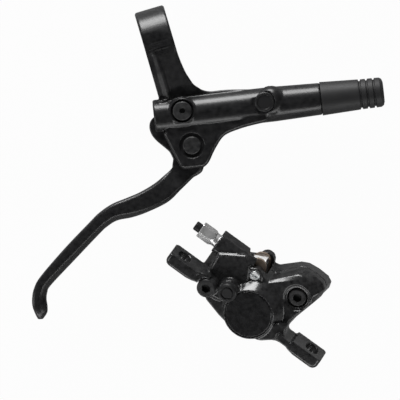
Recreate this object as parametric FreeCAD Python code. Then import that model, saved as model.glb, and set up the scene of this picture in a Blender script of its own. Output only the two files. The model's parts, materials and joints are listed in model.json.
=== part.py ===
import FreeCAD, Part
import math
import os

os.makedirs("parts", exist_ok=True)

# Hydraulic disc brake set: hand lever with master cylinder, and the two-piston
# post-mount caliper, lying side by side. Millimetres. The frame origin is the
# middle of the handlebar clamp; X runs along the bar, Z is up off the ground.

# Where the two halves of the set lie.
barrel_turn_deg = -10.1
barrel_origin_x = -11.45
barrel_origin_y = -34.64
barrel_height = 2.0
caliper_turn_deg = -52.35
caliper_lean_deg = 22.0
caliper_x = 5.9
caliper_y = -131.4

# Handlebar clamp and neck.
bar_radius = 11.1
clamp_wall = 4.6
clamp_width = 14.4
clamp_edge = 0.7
clamp_slit = 2.2
clamp_slit_z = -2.2
clamp_bolt_y = -19.2
clamp_bolt_radius = 2.5
clamp_bolt_head_radius = 4.2
clamp_bolt_head_height = 4.6
clamp_bolt_socket = 4.0
lug_bottom_z = -9.6
lug_end_y = -24.2
bolt_seat_z = -7.0
bolt_thread_top_z = 3.6
neck_web_z = 4.6
neck_rib_width = 3.2
neck_rib_edge = 0.7

# Master cylinder barrel.
barrel_length = 79.0
barrel_start = -0.8
barrel_taper_start = 57.0
barrel_radius = 8.3
barrel_radius_hose_end = 7.6
barrel_end_chamfer = 0.6
piston_bore_radius = 4.5
piston_bore_end = 41.5
lever_cavity_radius = 6.9
reservoir_radius = 4.2
reservoir_start = 45.0
reservoir_end_wall = 12.0
reservoir_z = 2.6
bladder_wall = 0.7
bladder_room = 0.7
outlet_radius = 0.9
outlet_wall = 0.7
gallery_radius = 0.6
gallery_z = 6.1
inlet_port_radius = 0.6
inlet_from_piston_start = 9.1
timing_port_radius = 0.35
timing_from_piston_start = 16.5
spigot_radius = 6.2
spigot_length = 7.0
hose_thread_radius = 4.0
hose_thread_depth = 11.0

# Bleed screw and reservoir cap on the barrel.
bleed_s = 12.9
bleed_t = 1.5
bleed_boss_radius = 6.3
bleed_boss_top = 8.5
bleed_recess_radius = 5.4
bleed_recess_floor = 6.9
bleed_head_radius = 4.5
bleed_head_top = 9.0
bleed_socket = 2.5
bleed_thread_radius = 2.0
bleed_washer_height = 0.35
bleed_washer_radius = 3.6
cap_s = 52.2
cap_t = 1.4
cap_radius = 4.75
cap_height = 1.9
cap_seat_shift = -0.7
cap_seat_room = 0.75
cap_seat_wall = 0.5
cap_boss_shift = 3.2
cap_boss_radius = 7.6
cap_boss_rise = 1.9
cap_plug_radius = 3.2
cap_plug_reach = 0.5

# Lever ears and pivot.
pivot_s = 15.6
pivot_t = -15.2
ear_half_height = 6.8
ear_side_gap = 0.2
knuckle_room = 0.4
ear_recess_radius = 5.9
ear_recess_depth = 1.2
ear_chamfer = 1.1
pivot_pin_radius = 2.5
pivot_head_radius = 4.3
pivot_head_height = 1.5
pivot_bush_radius = 3.4
pivot_bush_flange = 5.2
pivot_bush_flange_height = 0.5
pivot_running_gap = 0.05

# Lever blade. The arm's tip carries the push rod's nut, back and up from the pivot.
knuckle_half = 3.2
knuckle_radius = 7.6
ear_swing = 14.6
arm_reach = 14.2
arm_rise = 12.6
arm_half = 2.9
arm_side_gap = 0.6
arm_nut_radius = 2.2

# Push rod, piston, seals and spring.
rod_length = 14.0
rod_radius = 1.5
rod_ball_radius = 2.0
rod_socket = 1.6
rod_ball_room = 0.4
ball_seat_depth = 1.25
piston_length = 17.0
piston_land_radius = 4.43
piston_waist_radius = 3.1
seal_width = 2.2
seal_radius = 4.46
seal_inner_radius = 3.15
ring_clip_radius = 5.05
ring_clip_inner = 3.5
ring_clip_thickness = 1.0
ring_side_gap = 0.1
spring_coil_radius = 3.3
spring_wire_radius = 0.4
spring_turns = 4.5

# Hose boot and connecting bolt at the lever.
boot_seam = 0.1
boot_length = 29.9
boot_smooth_length = 17.7
boot_radius_start = 8.0
boot_radius_grooves = 7.15
boot_radius_end = 6.9
boot_wall = 1.6
boot_hose_hole = 2.6
boot_groove_depth = 0.75
boot_groove_width = 1.1
boot_groove_pitch = 3.3
boot_grooves = 3
nut_across_flats = 8.0
nut_hex_length = 7.0
nut_bore = 2.6

# Caliper. Its own frame has u along the hole line, v away from the wheel hub and
# w across the rotor, with the origin on top of the tabs midway between the holes.
hole_spacing = 74.2
tab_thickness = 6.0
tab_root_rise = 1.6
tab_seat_rise = 1.4
tab_seat_half = 9.4
tab_end_round = 3.0
tab_corner = 1.1
tab_depth = 15.0
tab_end_margin = 6.7
tab_slot_radius = 3.2
tab_slot_travel = 2.4
rotor_w = -11.0
rotor_slot_half = 1.35
half_thickness = 10.5
bore_u = 3.2
bore_v = -3.0
radial_lean_deg = 28.0
boss_base_radius = 15.3
boss_base_shift = 2.0
boss_rim = 0.9
boss_edge = 0.6
bore_cap_ledge = 0.8
bore_cap_thickness = 2.0
bore_cap_room = 1.2
inboard_boss_wall = 4.0
inboard_boss_floor = 1.8
landing_depth = 2.2
caliper_bore_radius = 10.6
piston_fit = 0.1
caliper_piston_wall = 1.8
caliper_piston_depth = 7.4
fluid_room = 0.5
seal_groove_depth = 1.4
seal_thickness = 2.0
bolt_p = 21.3
bolt_q = 10.0
body_bolt_radius = 3.0
body_bolt_head_radius = 4.3
body_bolt_head_height = 4.4
body_bolt_socket = 4.0
left_bolt_seat_w = 3.0
left_bolt_head_radius = 4.6
left_bolt_head_height = 4.0
right_bolt_seat_w = -6.0
bolt_head_gap = 0.35
right_bolt_recess_gap = 0.6
right_spot_radius = 6.4
right_spot_depth = 0.9
axle_q = 17.9
axle_radius = 1.75
axle_head_radius = 2.6
axle_clip_radius = 3.2
axle_lug_radius = 3.9
hose_v = 13.9
hose_w = -5.6
hose_boss_end_u = -28.8
hose_boss_half = 4.9
hose_boss_top = 5.0
hose_port_radius = 3.5
hose_thread_length = 9.6
hose_neck_length = 2.0
hose_neck_radius = 3.3
hose_hex = 7.0
hose_hex_length = 7.9
hose_hex_bevel = 1.5
plug_radius = 2.3
plug_reach = 3.3
plug_depth = 10.7
nipple_u = -11.0
nipple_v = 1.3
nipple_boss_radius = 4.9
nipple_boss_top_w = 5.6
nipple_radius = 2.0
nipple_tip_radius = 1.7
nipple_tip_height = 2.8
nipple_hex = 6.0
nipple_hex_height = 1.6
nipple_cap_radius = 4.5
nipple_cap_floor = 1.2
nipple_cap_room = 0.1
plateau_w = 1.2
plateau_edge = 1.0
pad_half_width = 12.0
pad_side_room = 0.6
pad_ear_half = 4.2
pad_ear_room = 0.9
lining_inset = 1.2
pad_plate_thickness = 1.8
pad_lining_thickness = 2.2
pad_gap_to_rotor_centre = 1.55
rotor_radius = 80.0
rotor_room_radial = 1.3
rotor_room_side = 0.6
rotor_rim_q = 8.0
spring_leaf = 0.35
spring_half_width = 3.4
spring_fold_rise = 5.5
fit_gap = 0.05
part_gap = 0.35

# Worked out from the sizes above: the push rod places the piston and its ring.
clamp_outer_radius = bar_radius + clamp_wall
ground_z = -clamp_outer_radius
reservoir_end = barrel_length - reservoir_end_wall
ear_slot_half = knuckle_half + pivot_bush_flange_height + ear_side_gap
lever_slot_half = arm_half + arm_side_gap
arm_tip_s = pivot_s - arm_reach
arm_tip_t = pivot_t + arm_rise
rod_rise = math.asin(-arm_tip_t / rod_length)
ball_s = arm_tip_s + rod_length * math.cos(rod_rise)
piston_start = ball_s - ball_seat_depth
ring_groove_width = ring_clip_thickness + 2 * ring_side_gap
ring_groove_radius = ring_clip_radius + fit_gap
ring_groove_s = piston_start - ring_side_gap - ring_groove_width
outlet_z = reservoir_z - reservoir_radius - outlet_wall - outlet_radius
cap_seat_floor = reservoir_z + reservoir_radius + cap_seat_wall
cap_top = cap_seat_floor + cap_height
cap_plug_bottom = reservoir_z + reservoir_radius - cap_plug_reach
spigot_end = barrel_length + spigot_length
boot_start = barrel_length + boot_seam
boot_end = boot_start + boot_length
bore_cap_radius = caliper_bore_radius + bore_cap_ledge
boss_face_radius = bore_cap_radius + boss_rim
inboard_boss_radius = caliper_bore_radius + inboard_boss_wall
caliper_piston_radius = caliper_bore_radius - piston_fit
rotor_centre_q = rotor_rim_q - rotor_radius
pocket_half = pad_gap_to_rotor_centre + pad_lining_thickness + pad_plate_thickness + part_gap
cap_face_w = rotor_w + pocket_half + caliper_piston_depth + bore_cap_room + bore_cap_thickness
inboard_boss_w = rotor_w - pocket_half - caliper_piston_depth - fluid_room - inboard_boss_floor
tab_end_u = hole_spacing / 2.0 + tab_end_margin
hose_hex_near_u = hose_boss_end_u - hose_neck_length
hose_hex_far_u = hose_hex_near_u - hose_hex_length
nipple_top_w = nipple_boss_top_w + nipple_tip_height
nipple_cap_top_w = nipple_top_w + nipple_cap_room + nipple_cap_floor

Vec = FreeCAD.Vector
ZDIR = Vec(0, 0, 1)
XDIR = Vec(1, 0, 0)
YDIR = Vec(0, 1, 0)


def cyl(radius, height, x, y, z, direction=ZDIR):
    return Part.makeCylinder(radius, height, Vec(x, y, z), direction)


def box(x0, x1, y0, y1, z0, z1):
    return Part.makeBox(x1 - x0, y1 - y0, z1 - z0, Vec(x0, y0, z0))


def ring(outer, inner, height, x, y, z, direction=ZDIR):
    whole = cyl(outer, height, x, y, z, direction)
    hole = cyl(inner, height + 0.4, x - 0.2 * direction.x, y - 0.2 * direction.y,
               z - 0.2 * direction.z, direction)
    return whole.cut(hole)


def prism(points, z0, z1):
    corners = [Vec(x, y, z0) for x, y in points]
    corners.append(corners[0])
    face = Part.Face(Part.makePolygon(corners))
    return face.extrude(Vec(0, 0, z1 - z0))


def smooth_prism(runs, z0, z1):
    """Extrude an outline made of runs: each run is a list of points, straight
    when it has two points and a smooth curve when it has more."""
    edges = []
    for run in runs:
        pts = [Vec(x, y, z0) for x, y in run]
        if len(pts) == 2:
            edges.append(Part.makeLine(pts[0], pts[1]))
        else:
            curve = Part.BSplineCurve()
            curve.interpolate(pts)
            edges.append(curve.toShape())
    face = Part.Face(Part.Wire(edges))
    return face.extrude(Vec(0, 0, z1 - z0))


def turned(profile, x=0.0, y=0.0, z=0.0, direction=XDIR):
    """Revolve (distance, radius) points about an axis through x, y, z."""
    pts = [Vec(d, r, 0) for d, r in profile]
    pts.append(pts[0])
    face = Part.Face(Part.makePolygon(pts))
    solid = face.revolve(Vec(0, 0, 0), XDIR, 360)
    spin = FreeCAD.Rotation(XDIR, direction)
    solid.Placement = FreeCAD.Placement(Vec(x, y, z), spin)
    return solid


def hexagon(flats, height, x, y, z, direction=ZDIR):
    radius = flats / math.sqrt(3.0)
    pts = []
    for k in range(7):
        a = math.radians(60.0 * k)
        pts.append(Vec(radius * math.cos(a), radius * math.sin(a), 0))
    solid = Part.Face(Part.makePolygon(pts)).extrude(Vec(0, 0, height))
    spin = FreeCAD.Rotation(ZDIR, direction)
    solid.Placement = FreeCAD.Placement(Vec(x, y, z), spin)
    return solid


def fuse(shapes):
    whole = shapes[0]
    for shape in shapes[1:]:
        whole = whole.fuse(shape)
    return whole.removeSplitter()


def cut(shape, tools):
    for tool in tools:
        shape = shape.cut(tool)
    return shape


def edges_on(shape, test):
    return [e for e in shape.Edges if test(e)]


def on_barrel(shape):
    """Move a shape from the barrel frame to the frame of the whole set."""
    spin = FreeCAD.Rotation(ZDIR, barrel_turn_deg)
    there = FreeCAD.Placement(Vec(barrel_origin_x, barrel_origin_y, barrel_height), spin)
    moved = shape.copy()
    moved.Placement = there.multiply(moved.Placement)
    return moved


caliper_lift = 0.0


def on_caliper(shape):
    """Move a shape from the caliper frame to the frame of the whole set."""
    turn = FreeCAD.Rotation(ZDIR, caliper_turn_deg)
    lean = FreeCAD.Rotation(XDIR, caliper_lean_deg)
    there = FreeCAD.Placement(Vec(caliper_x, caliper_y, caliper_lift), turn.multiply(lean))
    moved = shape.copy()
    moved.Placement = there.multiply(moved.Placement)
    return moved


def save(shape, name):
    shape.exportStep("parts/" + name + ".step")


lean = math.radians(caliper_lean_deg)
radial = math.radians(radial_lean_deg)


def radial_uv(p, q):
    """Point p along the rotor, q away from the hub, from the bore centre."""
    u = bore_u + p * math.cos(radial) - q * math.sin(radial)
    v = bore_v + p * math.sin(radial) + q * math.cos(radial)
    return u, v


def caliper_row(u, v, w):
    """Caliper frame point written in the frame of the whole set."""
    n = v * math.cos(lean) - w * math.sin(lean)
    z = v * math.sin(lean) + w * math.cos(lean) + caliper_lift
    a = math.radians(caliper_turn_deg)
    x = caliper_x + u * math.cos(a) - n * math.sin(a)
    y = caliper_y + u * math.sin(a) + n * math.cos(a)
    return x, y, z


# The caliper is lifted so that the landing flat on its inboard boss is at
# ground level, a landing depth up inside the round of the boss.
boss_low_v = bore_v - inboard_boss_radius
boss_low = boss_low_v * math.sin(lean) + inboard_boss_w * math.cos(lean)
caliper_lift = ground_z - boss_low - landing_depth

# The master cylinder body.

barrel = turned([
    (barrel_start, 0.0),
    (barrel_start, barrel_radius - barrel_end_chamfer),
    (barrel_start + barrel_end_chamfer, barrel_radius),
    (barrel_taper_start, barrel_radius),
    (barrel_length, barrel_radius_hose_end),
    (barrel_length, spigot_radius),
    (spigot_end, spigot_radius),
    (spigot_end, 0.0),
])


def from_pivot(points):
    return [(pivot_s + ds, pivot_t + dt) for ds, dt in points]


# The ears' outline: corners round the pivot are measured from it, and the long
# hose-side edge runs out along the barrel.
ear_top = -4.0
ear_end_s = 52.0
ear_foot = from_pivot([(-12.6, 6.0), (-7.2, -8.2), (-6.2, -10.0), (-4.2, -10.9), (4.4, -10.9)])
ear_sweep = from_pivot([(4.4, -10.9), (7.2, -8.7), (9.6, -4.8), (12.2, -1.0), (15.6, 2.7)])
ear_outline = [
    [(ear_foot[0][0], ear_top), ear_foot[0]],
    [ear_foot[0], ear_foot[1]],
    ear_foot[1:4],
    [ear_foot[3], ear_foot[4]],
    ear_sweep + [(36.0, -10.6), (43.2, -9.1), (ear_end_s, -8.0)],
    [(ear_end_s, -8.0), (ear_end_s, ear_top)],
    [(ear_end_s, ear_top), (ear_foot[0][0], ear_top)],
]
ears = smooth_prism(ear_outline, -ear_half_height, ear_half_height)
right_curve = edges_on(
    ears,
    lambda e: abs(abs(e.CenterOfMass.z) - ear_half_height) < 0.01 and e.CenterOfMass.y < pivot_t + 5.6,
)
ears = ears.makeChamfer(ear_chamfer, right_curve)

bleed_boss = cyl(bleed_boss_radius, bleed_boss_top - 2.0, bleed_s, bleed_t, 2.0)
bleed_boss = bleed_boss.makeChamfer(
    0.5, edges_on(bleed_boss, lambda e: abs(e.CenterOfMass.z - bleed_boss_top) < 0.01)
)
hump_low = cap_seat_floor - 3.6
hump_top = cap_seat_floor + cap_boss_rise
cap_boss = turned([
    (hump_low, 0.0), (hump_low, cap_boss_radius), (cap_seat_floor - 1.0, cap_boss_radius - 1.0),
    (cap_seat_floor + 0.4, cap_boss_radius - 2.0), (hump_top - 0.6, cap_boss_radius - 3.4),
    (hump_top, cap_boss_radius - 5.0), (hump_top, 0.0),
], cap_s + cap_boss_shift, cap_t, 0.0, ZDIR)

barrel_side = fuse([barrel, ears, bleed_boss, cap_boss])

# Clamp ring and neck, drawn in the frame of the whole set.
clamp_half = clamp_width / 2.0
clamp_ring = cyl(clamp_outer_radius, clamp_width, -clamp_half, 0, 0, XDIR)
clamp_ring = clamp_ring.makeChamfer(clamp_edge, edges_on(clamp_ring, lambda e: len(e.Vertexes) == 1))

neck_outline = [
    [(-clamp_half, 2.0), (-clamp_half - 0.2, -24.0)],
    [(-clamp_half - 0.2, -24.0), (-clamp_half - 0.2, -30.0)],
    [(-clamp_half - 0.2, -30.0), (44.0, -40.0)],
    [(44.0, -40.0), (44.0, -37.2)],
    [(44.0, -37.2), (32.7, -33.9), (22.0, -31.1), (14.7, -29.2), (10.5, -25.0), (8.2, -17.6), (7.2, -8.0),
     (clamp_half, 2.0)],
    [(clamp_half, 2.0), (-clamp_half, 2.0)],
]
neck_low_z = -1.0
neck = smooth_prism(neck_outline, neck_low_z, clamp_outer_radius)


def side_prism(runs, x0, x1):
    """Extrude an outline of (y, z) runs along X: straight runs have two points."""
    edges = []
    for run in runs:
        pts = [Vec(x0, y, z) for y, z in run]
        if len(pts) == 2:
            edges.append(Part.makeLine(pts[0], pts[1]))
        else:
            curve = Part.BSplineCurve()
            curve.interpolate(pts)
            edges.append(curve.toShape())
    return Part.Face(Part.Wire(edges)).extrude(Vec(x1 - x0, 0, 0))


# Seen from the bar's end, the neck leaves the ring in a hollow curve and runs out
# flat to the barrel; the rib along its left edge stands above it.
ring_top = clamp_outer_radius
web_edge = [(-8.6, ring_top - 2.9), (-11.5, ring_top - 5.9), (-15.5, neck_web_z + 2.6),
            (-20.5, neck_web_z + 1.1),
            (-27.0, neck_web_z + 0.3), (-34.0, neck_web_z)]
web_shape = side_prism([
    [(2.0, neck_low_z), (2.0, ring_top - 2.9)],
    [(2.0, ring_top - 2.9), web_edge[0]],
    web_edge,
    [web_edge[-1], (-42.0, neck_web_z)],
    [(-42.0, neck_web_z), (-42.0, neck_low_z)],
    [(-42.0, neck_low_z), (2.0, neck_low_z)],
], -clamp_half - 1.0, 46.0)
neck = neck.common(web_shape)

rib_edge = [(-1.0, ring_top - 0.2), (-6.0, ring_top - 1.1), (-12.0, ring_top - 3.4),
            (-19.0, neck_web_z + 5.0),
            (-26.0, neck_web_z + 3.4), (-32.0, neck_web_z + 2.4)]
rib_right = -clamp_half + neck_rib_width
rib = side_prism([
    [(-1.0, 0.0), rib_edge[0]],
    rib_edge,
    [rib_edge[-1], (-32.0, 0.0)],
    [(-32.0, 0.0), (-1.0, 0.0)],
], -clamp_half, rib_right)
rib = rib.makeChamfer(
    neck_rib_edge,
    edges_on(rib, lambda e: abs(e.CenterOfMass.x - rib_right) < 0.01 and e.CenterOfMass.z > neck_web_z
                            and abs(e.CenterOfMass.y + 16.0) < 6.0)
)
lug_top_z = -3.4
lug = side_prism([
    [(-3.0, -ring_top + 0.8), (-9.0, -ring_top + 2.5)],
    [(-9.0, -ring_top + 2.5), (-16.0, lug_bottom_z - 1.3)],
    [(-16.0, lug_bottom_z - 1.3), (lug_end_y + 1.5, lug_bottom_z)],
    [(lug_end_y + 1.5, lug_bottom_z), (lug_end_y, lug_bottom_z + 1.5)],
    [(lug_end_y, lug_bottom_z + 1.5), (lug_end_y, lug_top_z)],
    [(lug_end_y, lug_top_z), (-3.0, lug_top_z)],
    [(-3.0, lug_top_z), (-3.0, -ring_top + 0.8)],
], -clamp_half, clamp_half)

body = fuse([on_barrel(barrel_side), clamp_ring, neck, rib, lug])

bar_hole = cyl(bar_radius, clamp_width + 4, -clamp_half - 2, 0, 0, XDIR)
slit = box(-clamp_half - 1, clamp_half + 1, lug_end_y - 1.0, -bar_radius + 1.1, clamp_slit_z - clamp_slit / 2,
           clamp_slit_z + clamp_slit / 2)
bolt_head_room = cyl(clamp_bolt_head_radius + 0.4, 9.0, 0, clamp_bolt_y, bolt_seat_z - 9.0)
bolt_clear = cyl(clamp_bolt_radius + 0.3, 5.0, 0, clamp_bolt_y, bolt_seat_z - 0.5)
bolt_thread = cyl(clamp_bolt_radius + fit_gap, bolt_thread_top_z - clamp_slit_z, 0, clamp_bolt_y,
                  clamp_slit_z)
body = cut(body, [bar_hole, slit, bolt_head_room, bolt_clear, bolt_thread])

# Openings in the barrel, drawn in the barrel frame.
bore = cyl(piston_bore_radius, piston_bore_end + 2, -2, 0, 0, XDIR)
cavity_round = cyl(lever_cavity_radius, ring_groove_s + 2, -2, 0, 0, XDIR)
cavity_slab = box(-2, ring_groove_s, -12, lever_cavity_radius, -lever_slot_half, lever_slot_half)
cavity = cavity_round.common(cavity_slab)
cavity_low = box(-2, ring_groove_s, -12, 0, -lever_slot_half, lever_slot_half)
cavity_toe = box(-2, ring_groove_s + 2.2, -12, -4.0, -lever_slot_half, lever_slot_half)
slot_top = knuckle_radius + knuckle_room
slot_side = knuckle_radius + 2.5 * knuckle_room
ear_slot = prism(from_pivot([
    (-21.6, slot_top), (slot_side, slot_top), (slot_side + 0.4, 6.2), (slot_side + 0.4, -2.8),
    (slot_side - 0.8, -8.8),
    (slot_side - 3.2, -24.8), (-21.6, -24.8),
]), -ear_slot_half, ear_slot_half)
pin_hole = cyl(pivot_pin_radius + fit_gap, 30, pivot_s, pivot_t, -15)
pin_recess = cyl(ear_recess_radius, 3, pivot_s, pivot_t, ear_half_height - ear_recess_depth)
clip_groove = cyl(ring_groove_radius, ring_groove_width, ring_groove_s, 0, 0, XDIR)
reservoir = cyl(reservoir_radius, reservoir_end - reservoir_start, reservoir_start, 0, reservoir_z, XDIR)
hose_bottom = spigot_end - hose_thread_depth
outlet = cyl(outlet_radius, hose_bottom + 2.0 - piston_bore_end, piston_bore_end - 1.0, 0, outlet_z, XDIR)
gallery = cyl(gallery_radius, reservoir_start + 1 - bleed_s, bleed_s, bleed_t, gallery_z, XDIR)
port_low = piston_bore_radius - 1.1
port_height = gallery_z + 0.3 - port_low
inlet_port = cyl(inlet_port_radius, port_height, piston_start + inlet_from_piston_start, bleed_t, port_low)
timing_port = cyl(timing_port_radius, port_height, piston_start + timing_from_piston_start, bleed_t, port_low)
bleed_recess = cyl(bleed_recess_radius, 6, bleed_s, bleed_t, bleed_recess_floor)
bleed_hole = cyl(bleed_thread_radius + fit_gap, 3, bleed_s, bleed_t, gallery_z - 0.9)
cap_seat = cyl(cap_radius + cap_seat_room, 6, cap_s + cap_seat_shift, cap_t, cap_seat_floor)
cap_hole = cyl(cap_plug_radius + fit_gap, 6, cap_s, cap_t, reservoir_z + 1.4)
hose_thread = cyl(hose_thread_radius, hose_thread_depth + 1, hose_bottom, 0, 0, XDIR)
for tool in [bore, cavity, cavity_low, cavity_toe, ear_slot, pin_hole, pin_recess, clip_groove, reservoir,
             outlet,
             gallery, inlet_port, timing_port, bleed_recess, bleed_hole, cap_seat, cap_hole, hose_thread]:
    body = body.cut(on_barrel(tool))
save(body, "master_cylinder_body")

# Fittings of the master cylinder.

clamp_bolt = fuse([
    cyl(clamp_bolt_head_radius, clamp_bolt_head_height, 0, clamp_bolt_y,
        bolt_seat_z - clamp_bolt_head_height),
    cyl(clamp_bolt_radius, bolt_thread_top_z - 0.3 - bolt_seat_z, 0, clamp_bolt_y, bolt_seat_z),
])
clamp_bolt = clamp_bolt.cut(
    hexagon(clamp_bolt_socket, 2.6, 0, clamp_bolt_y, bolt_seat_z - clamp_bolt_head_height - 0.01)
)
save(clamp_bolt, "clamp_bolt")

bleed_head_low = bleed_recess_floor + bleed_washer_height
bleed_screw_low = gallery_z - 0.6
bleed_screw = fuse([
    cyl(bleed_head_radius, bleed_head_top - bleed_head_low, bleed_s, bleed_t, bleed_head_low),
    cyl(bleed_thread_radius, bleed_head_low - bleed_screw_low, bleed_s, bleed_t, bleed_screw_low),
])
bleed_screw = bleed_screw.makeChamfer(
    0.4, edges_on(bleed_screw, lambda e: abs(e.CenterOfMass.z - bleed_head_top) < 0.01)
)
bleed_screw = bleed_screw.cut(hexagon(bleed_socket, 2.0, bleed_s, bleed_t, bleed_head_top - 1.4))
save(on_barrel(bleed_screw), "bleed_screw")
bleed_washer = ring(bleed_washer_radius, bleed_thread_radius + fit_gap, bleed_washer_height, bleed_s, bleed_t,
                    bleed_recess_floor)
save(on_barrel(bleed_washer), "bleed_screw_washer")

cap = cyl(cap_radius, cap_top - cap_seat_floor, cap_s, cap_t, cap_seat_floor)
cap = cap.makeChamfer(0.5, edges_on(cap, lambda e: abs(e.CenterOfMass.z - cap_top) < 0.01))
cap = cap.fuse(cyl(cap_plug_radius, cap_seat_floor - cap_plug_bottom + 0.1, cap_s, cap_t, cap_plug_bottom))
cap = cap.cut(cyl(cap_radius - 1.3, 0.5, cap_s, cap_t, cap_top - 0.25))
save(on_barrel(cap.removeSplitter()), "reservoir_cap")

bladder_radius = reservoir_radius - bladder_room
bladder_z = cap_plug_bottom - 0.6 - bladder_radius
bladder_s = reservoir_start + 2.0
bladder_length = reservoir_end - reservoir_start - 4.0
bladder_outer = cyl(bladder_radius, bladder_length, bladder_s, 0, bladder_z, XDIR)
bladder_outer = bladder_outer.makeChamfer(1.0, edges_on(bladder_outer, lambda e: len(e.Vertexes) == 1))
bladder_inner = cyl(bladder_radius - bladder_wall, bladder_length - 2 * bladder_wall,
                    bladder_s + bladder_wall, 0,
                    bladder_z, XDIR)
save(on_barrel(bladder_outer.cut(bladder_inner)), "reservoir_bladder")

pin_head_low = ear_half_height - ear_recess_depth
pin_head_top = pin_head_low + pivot_head_height
pin = fuse([
    cyl(pivot_head_radius, pivot_head_height, pivot_s, pivot_t, pin_head_low),
    cyl(pivot_pin_radius, pin_head_low + ear_half_height + 0.1, pivot_s, pivot_t, -ear_half_height),
])
pin = pin.makeChamfer(0.5, edges_on(pin, lambda e: abs(e.CenterOfMass.z - pin_head_top) < 0.01))
save(on_barrel(pin), "lever_pivot_pin")

for side, name in [(1, "upper"), (-1, "lower")]:
    low = 0.3 if side > 0 else -knuckle_half
    sleeve = ring(pivot_bush_radius, pivot_pin_radius + pivot_running_gap, knuckle_half - 0.3, pivot_s,
                  pivot_t, low)
    flange_low = knuckle_half if side > 0 else -knuckle_half - pivot_bush_flange_height
    flange = ring(pivot_bush_flange, pivot_pin_radius + pivot_running_gap, pivot_bush_flange_height,
                  pivot_s, pivot_t, flange_low)
    save(on_barrel(fuse([sleeve, flange])), "pivot_bush_" + name)

connecting_bolt = fuse([
    hexagon(nut_across_flats, nut_hex_length, spigot_end + 0.2, 0, 0, XDIR),
    cyl(hose_thread_radius - fit_gap, 9.0, spigot_end - 8.7, 0, 0, XDIR),
])
connecting_bolt = connecting_bolt.cut(cyl(nut_bore, 40, spigot_end - 16, 0, 0, XDIR))
save(on_barrel(connecting_bolt), "lever_connecting_bolt")

groove_at = boot_start + boot_smooth_length + 0.6
boot_profile = [(boot_start, boot_radius_start), (groove_at - 0.6, boot_radius_grooves + 0.1)]
for k in range(boot_grooves):
    top = boot_radius_grooves - 0.03 * k
    floor = top - boot_groove_depth
    boot_profile += [
        (groove_at, top), (groove_at + 0.25, floor), (groove_at + boot_groove_width - 0.25, floor),
        (groove_at + boot_groove_width, top),
    ]
    groove_at += boot_groove_pitch
boot_inner = boot_radius_end - boot_wall
boot_profile += [
    (boot_end - 1.6, boot_radius_end + 0.1), (boot_end - 0.5, boot_radius_end - 0.6),
    (boot_end, boot_radius_end - 2.0), (boot_end, boot_hose_hole), (boot_end - 3.0, boot_hose_hole),
    (boot_end - 3.0, boot_inner), (spigot_end + 0.6, boot_inner), (spigot_end + 0.6, spigot_radius + fit_gap),
    (boot_start, spigot_radius + fit_gap),
]
save(on_barrel(turned(boot_profile)), "hose_boot")

# The lever blade.

# Blade stations from the knuckle to the tip, measured from the pivot: outer edge
# s, t; inner edge s, t; half height. Each section has a ridge two thirds of the
# way to the inner edge.
stations = [
    (-9.2, -3.8, 4.3, -8.5, 4.4),
    (-10.8, -9.8, -1.0, -15.2, 4.8),
    (-15.1, -13.0, -7.6, -20.4, 5.0),
    (-19.9, -16.1, -14.2, -25.7, 5.2),
    (-27.0, -19.3, -24.0, -29.2, 5.4),
    (-33.9, -21.4, -31.8, -30.8, 5.5),
    (-40.9, -23.4, -39.2, -31.5, 5.6),
    (-47.3, -26.8, -44.5, -34.0, 5.6),
    (-52.7, -31.1, -48.6, -37.1, 5.6),
    (-65.5, -41.8, -61.2, -47.7, 5.5),
    (-78.4, -53.8, -73.9, -58.5, 5.3),
    (-82.1, -59.1, -76.0, -61.7, 5.2),
    (-83.5, -63.5, -76.7, -64.8, 5.0),
    (-83.8, -67.4, -76.6, -68.2, 4.6),
    (-82.9, -71.2, -77.1, -71.2, 3.6),
    (-81.8, -74.0, -79.5, -74.1, 1.8),
]


def blade_section(station):
    s0, t0, s1, t1, half = station
    ds = s1 - s0
    dt = t1 - t0
    shape = [(0.0, 0.40), (0.16, 0.86), (0.64, 1.0), (1.0, 0.46), (1.0, -0.46), (0.64, -1.0), (0.16, -0.86),
             (0.0, -0.40)]
    pts = [Vec(s0 + ds * a, t0 + dt * a, half * h) for a, h in shape]
    pts.append(pts[0])
    return Part.makePolygon(pts)


blade = Part.makeLoft([blade_section(st) for st in stations], True, False)
blade = blade.cut(cyl(ear_swing, 10, 0, 0, knuckle_half))
blade = blade.cut(cyl(ear_swing, 10, 0, 0, -knuckle_half - 10))
knuckle = cyl(knuckle_radius, 2 * knuckle_half, 0, 0, -knuckle_half)
shoulder = prism([
    (-7.4, 2.2), (-10.7, -2.1), (-9.5, -5.4), (-10.6, -9.6), (-1.6, -14.8), (2.1, -11.7), (4.6, -9.0),
    (6.6, -4.8), (6.8, 2.2), (-0.6, 4.2),
], -knuckle_half, knuckle_half)
arm = smooth_prism([
    [(-6.0, 6.0), (-9.1, 7.6), (-10.9, 10.2), (-10.8, 12.5), (-11.9, 14.9), (-14.0, 16.0), (-16.5, 15.3),
     (-18.3, 13.6),
     (-19.1, 10.6), (-18.5, 7.4), (-17.0, 4.8), (-13.8, 1.3), (-10.7, -2.1)],
    [(-10.7, -2.1), (-3.6, -4.8)],
    [(-3.6, -4.8), (0.4, 5.2)],
    [(0.4, 5.2), (-6.0, 6.0)],
], -arm_half, arm_half)
lever = fuse([blade, knuckle, shoulder, arm])
lever = lever.cut(cyl(pivot_bush_radius, 20, 0, 0, -10))
lever = lever.cut(cyl(arm_nut_radius + fit_gap, 20, -arm_reach, arm_rise, -10))
window_near = -arm_reach - 0.4
window_far = -arm_reach + 6.6
window_half = rod_radius + part_gap
rod_window = prism([(window_near, arm_rise - 2.4), (window_far, arm_rise - 4.5), (window_far, arm_rise + 4.5),
                    (window_near, arm_rise + 2.4)], -window_half, window_half)
lever = lever.cut(rod_window)
lever = lever.cut(cyl(1.1, 8.0, -arm_reach - 8.0, arm_rise - 1.0, 0, Vec(1, 0.18, 0)))
lever.translate(Vec(pivot_s, pivot_t, 0))
save(on_barrel(lever), "lever_blade")

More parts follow.
